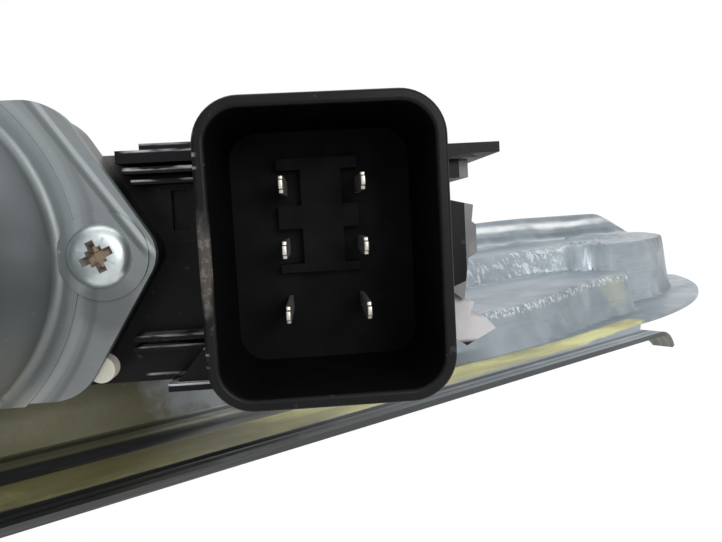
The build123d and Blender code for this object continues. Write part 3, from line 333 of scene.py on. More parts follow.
def patch_group():
    """A soft round patch with a ragged edge."""
    inputs = [
        ("Vector", "Vector", None), ("Centre", "Vector", None), ("Radius", "Float", 0.01),
        ("Ragged", "Float", 0.4),
    ]
    given, sink = new_group("Patch", inputs, [("Mask", "Float")])
    ends = {0: given["Vector"], 1: given["Centre"]}
    gap = add_node("VectorMath", {"operation": "DISTANCE"}, ends).outputs["Value"]
    wobble = maths("SUBTRACT", noise(given["Vector"], 350.0, 4.0), 0.5)
    wobble = product(wobble, given["Ragged"])
    share = maths("ADD", maths("DIVIDE", gap, given["Radius"]), wobble)
    fill(sink, {"Mask": ramp(share, 0.55, 1.0, 1.0, 0.0)})


def make_groups():
    """Builds the shared effects once."""
    for build in (mottle_group, scratches_group, grain_group, band_group, patch_group):
        build()


def use_group(name, inputs):
    """Outputs of the named group, placed with its own values."""
    return add_node("Group", {"node_tree": bpy.data.node_groups[name]}, inputs).outputs


def mottle(vector, scale, light, dark, contrast):
    """Mottled colour and the mask behind it."""
    tones = {"Light": (*light, 1), "Dark": (*dark, 1)}
    made = use_group("Mottle", {"Vector": vector, "Scale": scale, "Contrast": contrast, **tones})
    return made["Colour"], made["Mask"]


def scratches(vector, scale, amount):
    return use_group("Scratches", {"Vector": vector, "Scale": scale, "Amount": amount})["Mask"]


def grain(vector, scale):
    return use_group("Grain", {"Vector": vector, "Scale": scale})["Height"]


def band(value, middle, half, fade):
    """Mask of a band. Middle and half are millimetres, or sockets in metres."""
    middle, half = (given if is_socket(given) else given * MM for given in (middle, half))
    inputs = {"Value": value, "Middle": middle, "Half": half, "Fade": fade * MM}
    return use_group("Band", inputs)["Mask"]


def patch(vector, centre, radius, ragged):
    """Mask of a round patch, its centre and radius in millimetres."""
    centre = [part * MM for part in centre]
    inputs = {"Vector": vector, "Centre": centre, "Radius": radius * MM, "Ragged": ragged}
    return use_group("Patch", inputs)["Mask"]


# ---------------- finishes
def new_material(name):
    """A material with its shader and its object coordinates."""
    material = bpy.data.materials.new(name)
    material.use_nodes = True
    tree = material.node_tree
    shader = tree.nodes["Principled BSDF"]
    coords = tree.nodes.new("ShaderNodeTexCoord").outputs["Object"]
    return material, shader, coords


def motor_coords(coords):
    """Object coordinates turned into the gear motor's frame."""
    inputs = {"Vector": coords, "Location": MOTOR_ORIGIN * MM, "Rotation": MOTOR_AXES.to_euler("XYZ")}
    return add_node("Mapping", {"vector_type": "TEXTURE"}, inputs).outputs["Vector"]


def plain_finish(name, light, dark, metallic, rough, scale):
    """A finish with a mottled colour, uneven gloss and fine grain."""
    material, shader, coords = new_material(name)
    colour, mask = mottle(coords, scale, light, dark, 0.6)
    fill(shader, {
        "Base Color": colour,
        "Metallic": metallic,
        "Roughness": ramp(mask, 0.0, 1.0, *rough),
        "Normal": bump(grain(coords, 900.0), 0.02 * MM),
    })
    return material


def zinc_base(coords, along):
    """Spangled zinc with pale clouds, painted shade under the motor, and the spangle's mask."""
    colour, mask = mottle(coords, 42.0, colours().zinc, colours().zinc_shade, 0.55)
    clouds = ramp(streaks(coords, (14, 60, 30), 3.0), 0.45, 0.7, 0.0, 0.45)
    colour = blend(clouds, colour, (0.46, 0.51, 0.55))
    # Patchy painted shade under the motor and the connector, gone by 185 mm along the rail
    shade_under_motor = ramp(streaks(coords, (60, 110, 110), 5.0), 0.35, 0.62, 0.35, 1.0)
    shade_under_motor = product(ramp_mm(along, 90, 185, 0.75, 0.0), shade_under_motor)
    return blend(shade_under_motor, colour, (0.10, 0.105, 0.10)), mask


def chromate_band(coords, colour):
    """Yellow band along the lip, whose middle and width change along the rail, and its mask."""
    x, y, z = axis_parts(coords)
    middle = ramp_mm(x, 200, 262, -41.3 * MM, -36.5 * MM)
    half = ramp_mm(x, 110, 262, 6.4 * MM, 4.2 * MM)
    uneven = maths("ADD", y, wander(noise(coords, 160.0, 4.0), 3.0))
    on_lip = ramp_mm(z, STRIP_Z + 0.3, STRIP_Z + 2.2, 1.0, 0.0)
    above_end = ramp_mm(x, 247, 254, 1.0, 0.0)
    blotch = streaks(coords, (30, 90, 90), 5.0)
    patchy = ramp(blotch, 0.3, 0.6, 0.45, 1.0)
    mask = product(band(uneven, middle, half, 1.6), product(on_lip, above_end), patchy)
    yellow = blend(ramp(blotch, 0.42, 0.62), colours().chromate, (0.78, 0.75, 0.36))
    return blend(mask, colour, yellow), mask


def lip_shade_and_tones(coords, colour):
    """Painted shade in the lip's creases and grooves, a darker lower lip and edge, a brownish curled end.
    """
    x, y, z = axis_parts(coords)
    flat_part = ramp_mm(z, STRIP_Z + 2.0, STRIP_Z + 3.0, 1.0, 0.0)
    # Painted shade in the creases in front of the channel and in the lip's grooves
    for spot, half, share in ((-35.2, 1.7, 0.95), (-29.4, 1.3, 0.9), (-47.9, 1.1, 0.95), (-50.3, 0.6, 0.7)):
        near, far, rest = (160, 184, 0.0) if spot > -40 else (120, 230, 0.6)
        line = band(y, spot, half, half * 0.35)
        line = product(line, ramp_mm(x, near, far, 1.0, rest), flat_part)
        colour = tint(colour, line, share, (0.03, 0.033, 0.035))
    # Darker lip beyond its first groove and along its free edge
    low_lip = product(ramp_mm(y, -46.8, -47.6), ramp_mm(x, 110, 240, 0.85, 0.0))
    colour = blend(low_lip, colour, (0.035, 0.037, 0.04))
    colour = blend(ramp_mm(y, -52.2, -52.5, 0.0, 0.85), colour, (0.05, 0.053, 0.05))
    # Brownish tone inside the curled end
    curl = product(ramp_mm(x, 235.6, 238.0), ramp_mm(y, -44.6, -45.6))
    return tint(colour, curl, 0.75, (0.17, 0.155, 0.12))


def ridge_painted_reflections(coords, colour):
    """Painted reflections along the rounded ridge: bright highlight lines and darker lines."""
    _, y, z = axis_parts(coords)
    drift = streaks(coords, (26, 60, 60), 3.0)
    level = maths("ADD", z, wander(drift, 5.0))
    broken = ramp(drift, 0.36, 0.56, 0.35, 1.0)
    for height, half, share, shade in (
        (6.6, 2.1, 1.0, (0.93, 0.96, 0.98)),
        (2.6, 1.5, 0.75, (0.14, 0.17, 0.2)),
        (9.6, 0.9, 0.5, (0.2, 0.23, 0.26)),
        (0.6, 0.7, 0.5, (0.7, 0.74, 0.77)),
    ):
        line = product(band(level, height, half, half * 0.8), broken)
        line = product(line, ramp_mm(y, 28, 31, 0.0, share))
        colour = blend(line, colour, shade)
    return colour


def rail_finish():
    """Galvanised steel with spangle, chromate, painted shade and highlights, scratches and draw lines."""
    material, shader, coords = new_material("galvanised_sheet")
    x, y, z = axis_parts(coords)
    colour, spangle = zinc_base(coords, x)
    colour, chromate = chromate_band(coords, colour)
    # Chromate run up the pressed walls, darkened as painted shade under the motor, and a painted bluish
    # highlight beside it
    for centre, radius, ragged, share, laid_tone in (
        ((257, -27, -13), 8, 0.9, 0.32, (0.52, 0.52, 0.33)),
        ((90, -27, -17), 34, 0.8, 0.6, (0.30, 0.27, 0.12)),
        ((113, -19, -10.6), 19, 0.7, 0.6, (0.74, 0.80, 0.88)),
    ):
        colour = tint(colour, patch(coords, centre, radius, ragged), share, laid_tone)
    colour = lip_shade_and_tones(coords, colour)
    # Painted ragged highlight along the front edge of the cable channel, which is also a little glossier
    rim_z = ramp_mm(x, 175, 275, -12.4 * MM, -10.0 * MM)
    rim_y = ramp_mm(x, 195, 262, -31.2 * MM, -23.8 * MM)
    ragged = scratches(stretched(coords, (1.0, 0.6, 0.6)), 1100.0, 0.95)
    edge_highlight = product(band(z, rim_z, 1.5, 1.1), band(y, rim_y, 2.6, 1.4), ragged)
    colour = tint(colour, edge_highlight, 0.62, (0.86, 0.89, 0.91))
    # Short streaks across the long slope behind the channel
    marks = scratches(stretched(coords, (1.0, 0.4, 0.4)), 620.0, 0.85)
    rubbed_slope = product(band(y, 8, 8, 4), marks)
    colour = tint(colour, rubbed_slope, 0.4, (0.85, 0.88, 0.9))
    colour = ridge_painted_reflections(coords, colour)
    # Worn patch beside the fixing lobe, and long draw lines all over
    worn = patch(coords, (334, 14, 0.5), 9, 0.9)
    colour = tint(colour, worn, 0.55, (0.26, 0.25, 0.19))
    draw = scratches(stretched(coords, (0.03, 1.0, 1.0)), 700.0, 0.7)
    colour = tint(colour, draw, 0.18, (0.18, 0.19, 0.2))
    bare = ramp_mm(x, 100, 200, 0.3, 0.8)
    gloss = ramp(spangle, 0.0, 1.0, 0.46, 0.34)
    height = maths("ADD", product(grain(coords, 420.0), 0.10), grain(coords, 75.0))
    height = maths("ADD", height, product(rubbed_slope, 0.12))
    fill(shader, {
        "Base Color": colour,
        "Metallic": product(bare, ramp(chromate, 0.0, 1.0, 1.0, 0.55)),
        "Roughness": maths("SUBTRACT", gloss, product(edge_highlight, 0.1)),
        "Normal": bump(height, 0.5 * MM, 0.55),
    })
    return material


def can_finish():
    """Dull zinc plate with painted highlights and shade in soft bands along the drawn can."""
    material, shader, coords = new_material("drawn_can")
    local = motor_coords(coords)
    x, y, _ = axis_parts(local)
    light, dark = ([part * level for part in colours().can] for level in (1.18, 0.8))
    colour, mask = mottle(stretched(local, (1, 0.6, 0.5)), 55.0, light, dark, 0.9)
    warm = streaks(local, (80, 45, 20), 4.0)
    # Warm tone towards the bottom
    laid_tone = product(ramp(warm, 0.46, 0.66), ramp_mm(y, -4, -16, 0.0, 0.8))
    colour = blend(laid_tone, colour, (0.23, 0.225, 0.19))
    # Painted highlight lines on the drawn shoulder and painted shade in the root beside them
    squares = maths("ADD", product(x, x), product(y, y))
    out = maths("ADD", maths("SQRT", squares), wander(warm, 1.6))
    for radius, half, share, shade in (
        (20.9, 1.5, 0.75, (0.40, 0.43, 0.43)),
        (23.6, 1.1, 0.6, (0.075, 0.085, 0.085)),
        (25.6, 0.9, 0.5, (0.33, 0.36, 0.36)),
        (27.2, 0.6, 0.5, (0.09, 0.1, 0.1)),
    ):
        colour = tint(colour, band(out, radius, half, half * 0.8), share, shade)
    # Painted highlight and painted shade along the flange's doubled edge, painted shade under the screw and
    # a top made lighter as painted light
    beyond = maths("ADD", product(x, 0.829), product(y, 0.561))
    upper_side = ramp_mm(y, -1.5, 0.5)
    for spot, half, share, shade in (
        (27.15, 0.42, 0.85, (0.05, 0.055, 0.055)),
        (27.95, 0.4, 0.7, (0.5, 0.53, 0.54)),
    ):
        line = product(band(beyond, spot, half, half * 0.6), upper_side)
        colour = tint(colour, line, share, shade)
    colour = tint(colour, patch(local, (28.0, -6.4, 1.6), 4.6, 0.5), 0.55, (0.085, 0.09, 0.088))
    colour = blend(ramp_mm(y, -14, 22, 0.0, 0.4), colour, (0.31, 0.34, 0.345))
    flecks = scratches(stretched(local, (1, 1, 0.4)), 520.0, 0.18)
    height = maths("ADD", product(grain(local, 650.0), 0.06), grain(local, 60.0))
    fill(shader, {
        "Base Color": tint(colour, flecks, 0.4, (0.42, 0.44, 0.44)),
        "Metallic": 0.7,
        "Roughness": ramp(mask, 0.0, 1.0, 0.52, 0.42),
        "Normal": bump(height, 0.4 * MM, 0.4),
    })
    return material


def plastic_finish():
    """Black moulded plastic with fine texture, scuffs and a rubbed patch on the rim."""
    material, shader, coords = new_material("black_moulding")
    local = motor_coords(coords)
    x, y, z = axis_parts(local)
    base = colours().plastic
    colour, mask = mottle(coords, 90.0, [part * 1.7 for part in base], base, 0.8)
    # Tall, speckled patch where the shell's rim is rubbed
    narrow = (1.9, 0.5, 1.0)
    centre = [part * scale for part, scale in zip((41.2, -1.4, 10.6), narrow)]
    worn = patch(stretched(local, narrow), centre, 3.0, 1.1)
    speckle = ramp(scratches(local, 900.0, 1.0), 0.0, 1.0, 0.45, 0.9)
    colour = tint(colour, worn, speckle, (0.15, 0.135, 0.12))
    # Painted reflection, a lighter grey, on the flank of the electronics bay
    flank = product(ramp_mm(x, 29.0, 27.0), ramp_mm(y, 6, 14))
    colour = tint(colour, flank, 0.9, (0.20, 0.19, 0.185))
    # Bleached side bar and, paler, the latch hook beside the shell
    starts = ramp_mm(y, -6.4, -5.4, 69.2 * MM, 71.0 * MM)
    beside = product(maths("GREATER_THAN", x, starts), ramp_mm(y, 9.0, 8.4))
    bleached = product(beside, ramp(mask, 0.0, 1.0, 0.55, 0.95), ramp_mm(y, -13.2, -12.6))
    pale = blend(ramp_mm(y, -7.5, -8.5), (0.27, 0.262, 0.262), (0.62, 0.6, 0.6))
    colour = blend(bleached, colour, pale)
    # Painted highlights along the edges of the shelf, its ribs, the ledges and the bracket
    near_shell = product(ramp_mm(x, 29.4, 30.4), ramp_mm(x, 41.4, 40.6))
    glint = ramp(streaks(local, (160, 900, 300), 3.0), 0.38, 0.56)
    broken = product(near_shell, ramp_mm(z, -9.0, -7.0), glint)
    for spot, half, share in (
        (12.3, 0.28, 0.8), (10.1, 0.3, 0.95), (8.7, 0.22, 0.7), (13.2, 0.25, 0.5),
        (-11.5, 0.22, 0.55), (-12.9, 0.18, 0.45), (-17.1, 0.22, 0.95),
    ):
        line = product(band(y, spot, half, half * 0.7), broken)
        colour = tint(colour, line, share, (0.62, 0.63, 0.66))
    scuff = scratches(stretched(local, (1.0, 1.0, 0.2)), 600.0, 0.35)
    gloss = ramp(mask, 0.0, 1.0, 0.3, 0.42)
    fill(shader, {
        "Base Color": tint(colour, scuff, 0.12, (0.2, 0.2, 0.2)),
        "Roughness": maths("ADD", gloss, product(worn, 0.25)),
        "Specular IOR Level": 0.11,
        "Normal": bump(grain(local, 1500.0), 0.02 * MM, 0.6),
    })
    return material


def socket_finish():
    """Matt black inside the connector's socket, a little darker than the moulding outside as painted shade
    in the recess.
    """
    light, dark = (0.0042, 0.0042, 0.0045), (0.0022, 0.0022, 0.0024)
    material = plain_finish("socket_moulding", light, dark, 0.0, (0.62, 0.5), 120.0)
    material.node_tree.nodes["Principled BSDF"].inputs["Specular IOR Level"].default_value = 0.08
    return material


def screw_finish():
    """Blue-white zinc plate, warm brown down in the recess."""
    material, shader, coords = new_material("screw_zinc")
    local = motor_coords(coords)
    _, _, z = axis_parts(local)
    colour, mask = mottle(local, 260.0, (0.66, 0.70, 0.70), (0.42, 0.47, 0.48), 0.7)
    recess = product(ramp_mm(z, 3.3, 2.3), patch(local, (28.0, -0.4, 2.2), 3.6, 0.1))
    fill(shader, {
        "Base Color": blend(recess, colour, (0.30, 0.235, 0.17)),
        "Metallic": 0.85,
        "Roughness": ramp(mask, 0.0, 1.0, 0.4, 0.28),
        "Normal": bump(grain(local, 1200.0), 0.03 * MM, 0.5),
    })
    return material


def cable_finish():
    """Greased steel strands."""
    material, shader, coords = new_material("stranded_cable")
    colour, mask = mottle(coords, 300.0, (0.34, 0.34, 0.33), (0.14, 0.14, 0.135), 0.6)
    wave_inputs = {"Vector": coords, "Scale": 420.0, "Distortion": 0.6}
    strands = add_node("TexWave", {"bands_direction": "DIAGONAL"}, wave_inputs).outputs["Fac"]
    fill(shader, {
        "Base Color": blend(strands, (0.08, 0.08, 0.078), colour),
        "Metallic": 0.9,
        "Roughness": ramp(mask, 0.0, 1.0, 0.3, 0.45),
        "Normal": bump(strands, 0.15 * MM),
    })
    return material


# Light and dark tone, metallic, roughness from dark to light, and scale of the mottle
SLOT_FINISHES = {
    "hardened_steel": ((0.36, 0.36, 0.37), (0.25, 0.25, 0.26), 0.95, (0.3, 0.2), 120.0),
    "natural_nylon": ((0.70, 0.67, 0.58), (0.60, 0.57, 0.48), 0.0, (0.5, 0.4), 60.0),
    "black_rubber": ((0.022, 0.022, 0.022), (0.012, 0.012, 0.012), 0.0, (0.75, 0.65), 90.0),
    "ferrite": ((0.06, 0.06, 0.065), (0.035, 0.035, 0.04), 0.2, (0.7, 0.55), 140.0),
    "electrical_steel": ((0.22, 0.22, 0.23), (0.13, 0.13, 0.14), 0.85, (0.5, 0.4), 200.0),
    "copper": ((0.60, 0.24, 0.10), (0.42, 0.15, 0.06), 0.9, (0.38, 0.25), 220.0),
    "carbon": ((0.05, 0.05, 0.053), (0.028, 0.028, 0.03), 0.1, (0.65, 0.5), 220.0),
    "spring_steel": ((0.45, 0.45, 0.45), (0.3, 0.3, 0.3), 0.95, (0.35, 0.25), 220.0),
    "sintered_bronze": ((0.40, 0.27, 0.12), (0.27, 0.18, 0.08), 0.85, (0.55, 0.42), 260.0),
    "tinned_brass": ((0.66, 0.64, 0.58), (0.44, 0.42, 0.36), 0.8, (0.42, 0.3), 320.0),
    "board_green": ((0.02, 0.12, 0.045), (0.012, 0.08, 0.03), 0.0, (0.4, 0.3), 160.0),
    "component_black": ((0.02, 0.02, 0.022), (0.012, 0.012, 0.013), 0.0, (0.45, 0.35), 160.0),
}
# Slots whose finish has a builder of its own
OWN_FINISHES = {
    "galvanised_steel": rail_finish,
    "zinc_steel": can_finish,
    "black_plastic": plastic_finish,
    "bright_zinc": screw_finish,
    "cable_steel": cable_finish,
}


# ---------------- modelling helpers
def only(obj):
    """Leaves nothing selected but this object, which becomes the active one."""
    bpy.ops.object.select_all(action="DESELECT")
    obj.select_set(True)
    bpy.context.view_layer.objects.active = obj


def edit(obj):
    """Opens an object in edit mode with all of it selected."""
    only(obj)
    bpy.ops.object.mode_set(mode="EDIT")
    bpy.ops.mesh.select_all(action="SELECT")


def close_edit():
    bpy.ops.object.mode_set(mode="OBJECT")


def settle(obj, name):
    """Names a finished object and puts its place into its mesh."""
    only(obj)
    bpy.ops.object.transform_apply(location=True, rotation=True, scale=True)
    obj.name = obj.data.name = name
    return obj


def modify(obj, kind, **values):
    """Adds one modifier and applies it."""
    made = obj.modifiers.new(kind.title(), kind)
    for key, value in values.items():
        setattr(made, key, value)
    only(obj)
    bpy.ops.object.modifier_apply(modifier=made.name)


def smooth(obj, degrees):
    only(obj)
    bpy.ops.object.shade_smooth_by_angle(angle=math.radians(degrees))


def paint(obj, material):
    obj.data.materials.clear()
    obj.data.materials.append(material)


def register_piece(obj, body, slot_name, *nodes):
    """Seats a finished piece on its body and hides the solids it stands for."""
    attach(obj, body)
    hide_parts(*nodes)


def eased_copy(node_name, name, width):
    """A copy of a solid with its facets merged and its sharp edges eased by a small bevel."""
    obj = bpy.data.objects.new(name, frame["nodes"][node_name].data.copy())
    bpy.context.scene.collection.objects.link(obj)
    edit(obj)
    bpy.ops.mesh.remove_doubles(threshold=2e-6)
    bpy.ops.mesh.dissolve_limited(angle_limit=math.radians(0.4))
    close_edit()
    modify(
        obj, "BEVEL", width=width, segments=2, limit_method="ANGLE",
        angle_limit=math.radians(32), use_clamp_overlap=True, miter_outer="MITER_ARC",
    )
    smooth(obj, 38)
    modify(obj, "WEIGHTED_NORMAL", keep_sharp=True, weight=60)
    obj.data.name = name
    return obj


# ---------------- the pressed rail
# Forms of the sheet, in millimetres along (x) and across (y) the rail; rises are above the running strip
LIP_EDGE_Y = -52.6
CHANNEL_X, CHANNEL_FRONT_Y, CHANNEL_BACK_Y, CHANNEL_CORNER = (-264, 276), -28.0, 12.0, 13
CHANNEL_RISE, CHANNEL_SWELL = 10.4, 2.4
STEP_FRONT_Y, STEP_END_X, STEP_RISE = -36.0, 192, 1.5
PLATEAU_RISE, PLATEAU_SWELL = 19.7, 1.8
LOBE_RADIUS, LOBE_X, LOBE_Y = 109.4, 290, 94.6
RIDGE_RISE, PAD_RISE = 10.3, 21.5
# Span along the rail, span across it and corner radius of the rounded rectangles
PLATE = (16, 109), (-28.0, 53), 17
PLATEAU = (106, 379), (-60, 49.5), 13
RIDGE = (110, 378), (31.5, 49.0), 8.7
PAD = (-298, -257), (-20.5, 20.5), 14
# The lower fixing hole with its boss, the recess beside it and the lip's curl
FIXING_X, FIXING_HOLE, BOSS_RADIUS, BOSS_RISE = 277.5, 4.5, 11.5, 20.9
RECESS_X, RECESS_Y = 322, 21
CURL_START_X, CURL_END_X, CURL_BACK_Y, CURL_RADIUS = 234.6, 241.6, -43.5, 7.5
# Grooves along the lip's upper face: middle, half width, depth
GROOVES = ((-47.9, 0.9, 0.45), (-50.2, 0.8, 0.3))
# Holes that aren't fixing holes: drum, gear housing screws round it, pulley rivets
DRUM_HOLE = 10.2
HOUSING_ANGLES, HOUSING_RING, HOUSING_HOLE = (30, 130, 200), 33.5, 3.0
PULLEYS_X, PULLEYS_Y, RIVET_HOLE = (-245, 185), -8, 4.05


def ease(value):
    """Smooth step from 0 to 1."""
    value = min(max(value, 0.0), 1.0)
    return value * value * (3 - 2 * value)


def inside_box(x, y, span_x, span_y, corner):
    """How far a point is inside a rounded rectangle."""
    off_x = abs(x - sum(span_x) / 2) - (span_x[1] - span_x[0]) / 2 + corner
    off_y = abs(y - sum(span_y) / 2) - (span_y[1] - span_y[0]) / 2 + corner
    return corner - math.hypot(max(off_x, 0), max(off_y, 0)) - min(max(off_x, off_y), 0)


def ring(x, y, centre_x, centre_y, radius, half):
    """Cross-section of a raised ring round a centre."""
    return ease(1 - abs(math.hypot(x - centre_x, y - centre_y) - radius) / half)


def blend_lift(first, second, reach):
    """Small fill where two pressed forms meet at an angle."""
    if min(first, second) < 0.05 or min(first, second) > 21.0 or abs(first - second) >= reach:
        return 0.0
    share = (reach - abs(first - second)) / reach
    return share * share * reach / 4


def slope_foot(x):
    """Foot of the plateau's front wall, which swings out to the fixing lobe."""
    if x < 246:
        return 3.0
    if x < 288:
        return 3.0 - 17.8 * ease((x - 246) / 42)
    return LOBE_Y - math.sqrt(max(LOBE_RADIUS**2 - (x - LOBE_X) ** 2, 0.0))


def channel_front(x):
    """Foot of the cable channel's front wall, which swings out beside the connector."""
    return CHANNEL_FRONT_Y - 8.0 * ease((x - 130) / 50) + 8.0 * ease((x - 198) / 62)


def plateau_height(x, y, run):
    """Plateau with the fixing lobe, and the rounded ridge along its back."""
    front_run = 12.5 - 9.0 * ease((x - 248) / 60)
    side_run = run - 1.6 * ease((x - 300) / 40) - 1.9 * ease((x - 366) / 8)
    side = inside_box(x, y, *PLATEAU)
    rise = min(side / side_run, (y - slope_foot(x)) / front_run)
    height = (PLATEAU_RISE + PLATEAU_SWELL * ease((x - 225) / 75)) * ease(rise)
    ridge = inside_box(x, y, *RIDGE)
    return height + RIDGE_RISE * ease(ridge / 7.2) * ease((384 - x) / 36)


def curl_drop(x, y):
    """How far the lip's lower end is curled down, round an axis across the rail."""
    if y >= CURL_BACK_Y or x <= CURL_START_X:
        return 0.0
    upright = math.sqrt(max(CURL_RADIUS**2 - (x - CURL_START_X) ** 2, 0.1))
    return (CURL_RADIUS - upright) * ease((CURL_BACK_Y - y) / 1.6)


def rail_height(x, y, run):
    """Height of the pressed sheet above the running strip."""
    channel = inside_box(x, y, CHANNEL_X, (channel_front(x), CHANNEL_BACK_Y), CHANNEL_CORNER)
    plate = inside_box(x, y, *PLATE)
    wall_run = run + 0.5 - 2.0 * ease((x - 250) / 14)
    height = (CHANNEL_RISE + CHANNEL_SWELL * ease((x - 175) / 100)) * ease(max(channel, plate) / wall_run)
    low_step = min((y - STEP_FRONT_Y) / 2.4, (STEP_END_X - x) / 9)
    height = max(height, STEP_RISE * ease(low_step))
    plateau = plateau_height(x, y, run)
    height = max(height, plateau) + blend_lift(height, plateau, 2.6)
    pad = PAD_RISE * ease(inside_box(x, y, *PAD) / run)
    height = max(height, pad) + blend_lift(height, pad, 1.6)
    # Boss and ring round the lower fixing hole, and a shallow recess with its ring beside it
    height = max(height, BOSS_RISE * ease((BOSS_RADIUS - math.hypot(x - FIXING_X, y)) / 3.6))
    height += 1.2 * ring(x, y, FIXING_X, 0, 6.8, 1.9)
    height -= 1.8 * ease(1 - math.hypot((x - RECESS_X) / 1.5, (y - RECESS_Y) * 1.2) / 9.0)
    height += 1.1 * ring(x, y, RECESS_X, RECESS_Y, 11.0, 2.8)
    return height - curl_drop(x, y)


def lip_groove(x, y):
    """Depth of the grooves along the lip's upper face."""
    depth = sum(deep * ease(1 - abs(y - middle) / half) for middle, half, deep in GROOVES)
    return depth * ease((235 - x) / 5)


def rail_outline():
    """Outline of the sheet, in millimetres, from the fixing end round to the same place."""
    points = [
        (-304, 26), (-304, -27), (-278, LIP_EDGE_Y), (CURL_END_X, LIP_EDGE_Y), (CURL_END_X, -46.8),
        (240.2, -45.4), (237, -44.8), (250, -38.3),
    ]
    centre, radius, first, last = spanning_arc((260, -37.8), (323, -22.5), (384.8, 17))
    for step in range(25):
        angle = first + (last - first) * step / 24
        points.append((centre[0] + radius * math.cos(angle), centre[1] + radius * math.sin(angle)))
    points += [(385, 41), (381, 49), (373, 53), (121.6, 53), (107.6, 56), (21.6, 56)]
    points += [(1.6, 16), (-243.5, 16), (-255.5, 26)]
    return points


def spanning_arc(start, through, end):
    """Centre, radius and the two end angles of the arc through three points."""
    (ax, ay), (bx, by), (cx, cy) = start, through, end
    twice_area = 2 * (ax * (by - cy) + bx * (cy - ay) + cx * (ay - by))
    a, b, c = (x**2 + y**2 for x, y in (start, through, end))
    centre_x = (a * (by - cy) + b * (cy - ay) + c * (ay - by)) / twice_area
    centre_y = (a * (cx - bx) + b * (ax - cx) + c * (bx - ax)) / twice_area
    angles = [math.atan2(y - centre_y, x - centre_x) for x, y in (start, end)]
    return (centre_x, centre_y), math.hypot(ax - centre_x, ay - centre_y), *angles


def spaced(stops):
    """Grid lines between stops, each stop with the spacing up to the next one."""
    lines = []
    for (start, gap), (end, _) in zip(stops, stops[1:]):
        count = max(1, round((end - start) / gap))
        lines += [start + (end - start) * i / count for i in range(count)]
    return lines + [stops[-1][0]]


def make_prism(points, low, high, name):
    """A closed prism over an outline, extruded upwards."""
    mesh = bpy.data.meshes.new(name)
    mesh.from_pydata([(x * MM, y * MM, low * MM) for x, y in points], [], [list(range(len(points)))])
    obj = bpy.data.objects.new(name, mesh)
    bpy.context.scene.collection.objects.link(obj)
    edit(obj)
    bpy.ops.mesh.extrude_region_move(TRANSFORM_OT_translate={"value": (0, 0, (high - low) * MM)})
    bpy.ops.mesh.select_all(action="SELECT")
    bpy.ops.mesh.normals_make_consistent(inside=False)
    close_edit()
    return obj


def make_rod(x, y, radius, vertices=40):
    """A cutter for a round hole, longer than the sheet is thick."""
    bpy.ops.mesh.primitive_cylinder_add(
        vertices=vertices, radius=radius * MM, depth=18 * MM, location=(x * MM, y * MM, 0)
    )
    return bpy.context.object


def hole_cutters():
    """Cutters for the two fixing holes, the drum, the gear housing's screws and the pulleys' rivets."""
    tools = [make_rod(side * FIXING_X, 0, FIXING_HOLE) for side in (1, -1)]
    tools.append(make_rod(DRUM.x, DRUM.y, DRUM_HOLE, 64))
    for turn in map(math.radians, HOUSING_ANGLES):
        x, y = DRUM.x + HOUSING_RING * math.cos(turn), DRUM.y + HOUSING_RING * math.sin(turn)
        tools.append(make_rod(x, y, HOUSING_HOLE))
    return tools + [make_rod(x, PULLEYS_Y, RIVET_HOLE) for x in PULLEYS_X]


def cut(obj, tool, operation):
    modify(obj, "BOOLEAN", object=tool, operation=operation, solver="EXACT")
    bpy.data.objects.remove(tool)


def joined(pieces):
    bpy.ops.object.select_all(action="DESELECT")
    for piece in pieces:
        piece.select_set(True)
    bpy.context.view_layer.objects.active = pieces[0]
    bpy.ops.object.join()
    return bpy.context.object


def press(obj, run, sheet):
    """Presses the flat blank into its forms; its lower face follows at the sheet's thickness."""
    reach = 0.25
    for vertex in obj.data.vertices:
        x, y = vertex.co.x / MM, vertex.co.y / MM
        top = vertex.co.z > -sheet / 2
        vertex.co.z = (STRIP_Z + rail_height(x, y, run)) * MM
        if top:
            vertex.co.z -= lip_groove(x, y) * MM
        else:
            tilt_x = (rail_height(x + reach, y, run) - rail_height(x - reach, y, run)) / (2 * reach)
            tilt_y = (rail_height(x, y + reach, run) - rail_height(x, y - reach, run)) / (2 * reach)
            vertex.co -= Vector((-tilt_x, -tilt_y, 1)).normalized() * sheet


class REGULATOR_OT_rail(bpy.types.Operator):
    """Models the pressed rail as one soft sheet with its outline, holes and curled lip end"""

    bl_idname = "regulator.rail"
    bl_label = "Guide rail"

    def execute(self, context):
        sheet, run = sizes().sheet, sizes().soft / MM
        obj = self.blank(sizes().grid / MM)
        modify(obj, "SOLIDIFY", thickness=sheet, offset=-1.0)
        cut(obj, make_prism(rail_outline(), -20, 20, "outline_tool"), "INTERSECT")
        cut(obj, joined(hole_cutters()), "DIFFERENCE")
        press(obj, run, sheet)
        smooth(obj, 42)
        paint(obj, rail_finish())
        settle(obj, "pressed_rail")
        register_piece(obj, "regulator", "galvanised_steel", "guide_rail")
        return {"FINISHED"}

    def blank(self, grid):
        """A flat grid, finer where the sheet is bent most."""
        xs = spaced([
            (-306, 2.0), (-250, 3.6), (14, 2.4), (60, grid), (230, 0.55), (243, grid), (368, 0.65),
            (387, grid),
        ])
        ys = spaced([(-54.4, 0.42), (-45, 1.3), (-31, 1.0), (-18, 1.5), (0, 1.15), (57, 1.15)])
        bpy.ops.mesh.primitive_grid_add(x_subdivisions=len(xs) - 1, y_subdivisions=len(ys) - 1, size=1)
        obj = bpy.context.object
        columns = len(xs)
        for vertex in obj.data.vertices:
            vertex.co = (xs[vertex.index % columns] * MM, ys[vertex.index // columns] * MM, 0)
        return settle(obj, "pressed_rail")


# ---------------- motor screws
# Half section of a pan head screw: radius and height, in millimetres from the flange's face
SCREW_PROFILE = (
    (0.0, 3.6), (1.6, 3.58), (2.5, 3.48), (3.1, 3.22), (3.5, 2.85), (3.78, 2.42), (3.85, 2.2), (3.85, 2.02),
    (1.75, 2.02), (1.75, -6.0), (1.2, -7.0), (0.0, -7.0),
)
SCREW_ASIDE, SCREW_UP = 27.7, -0.4


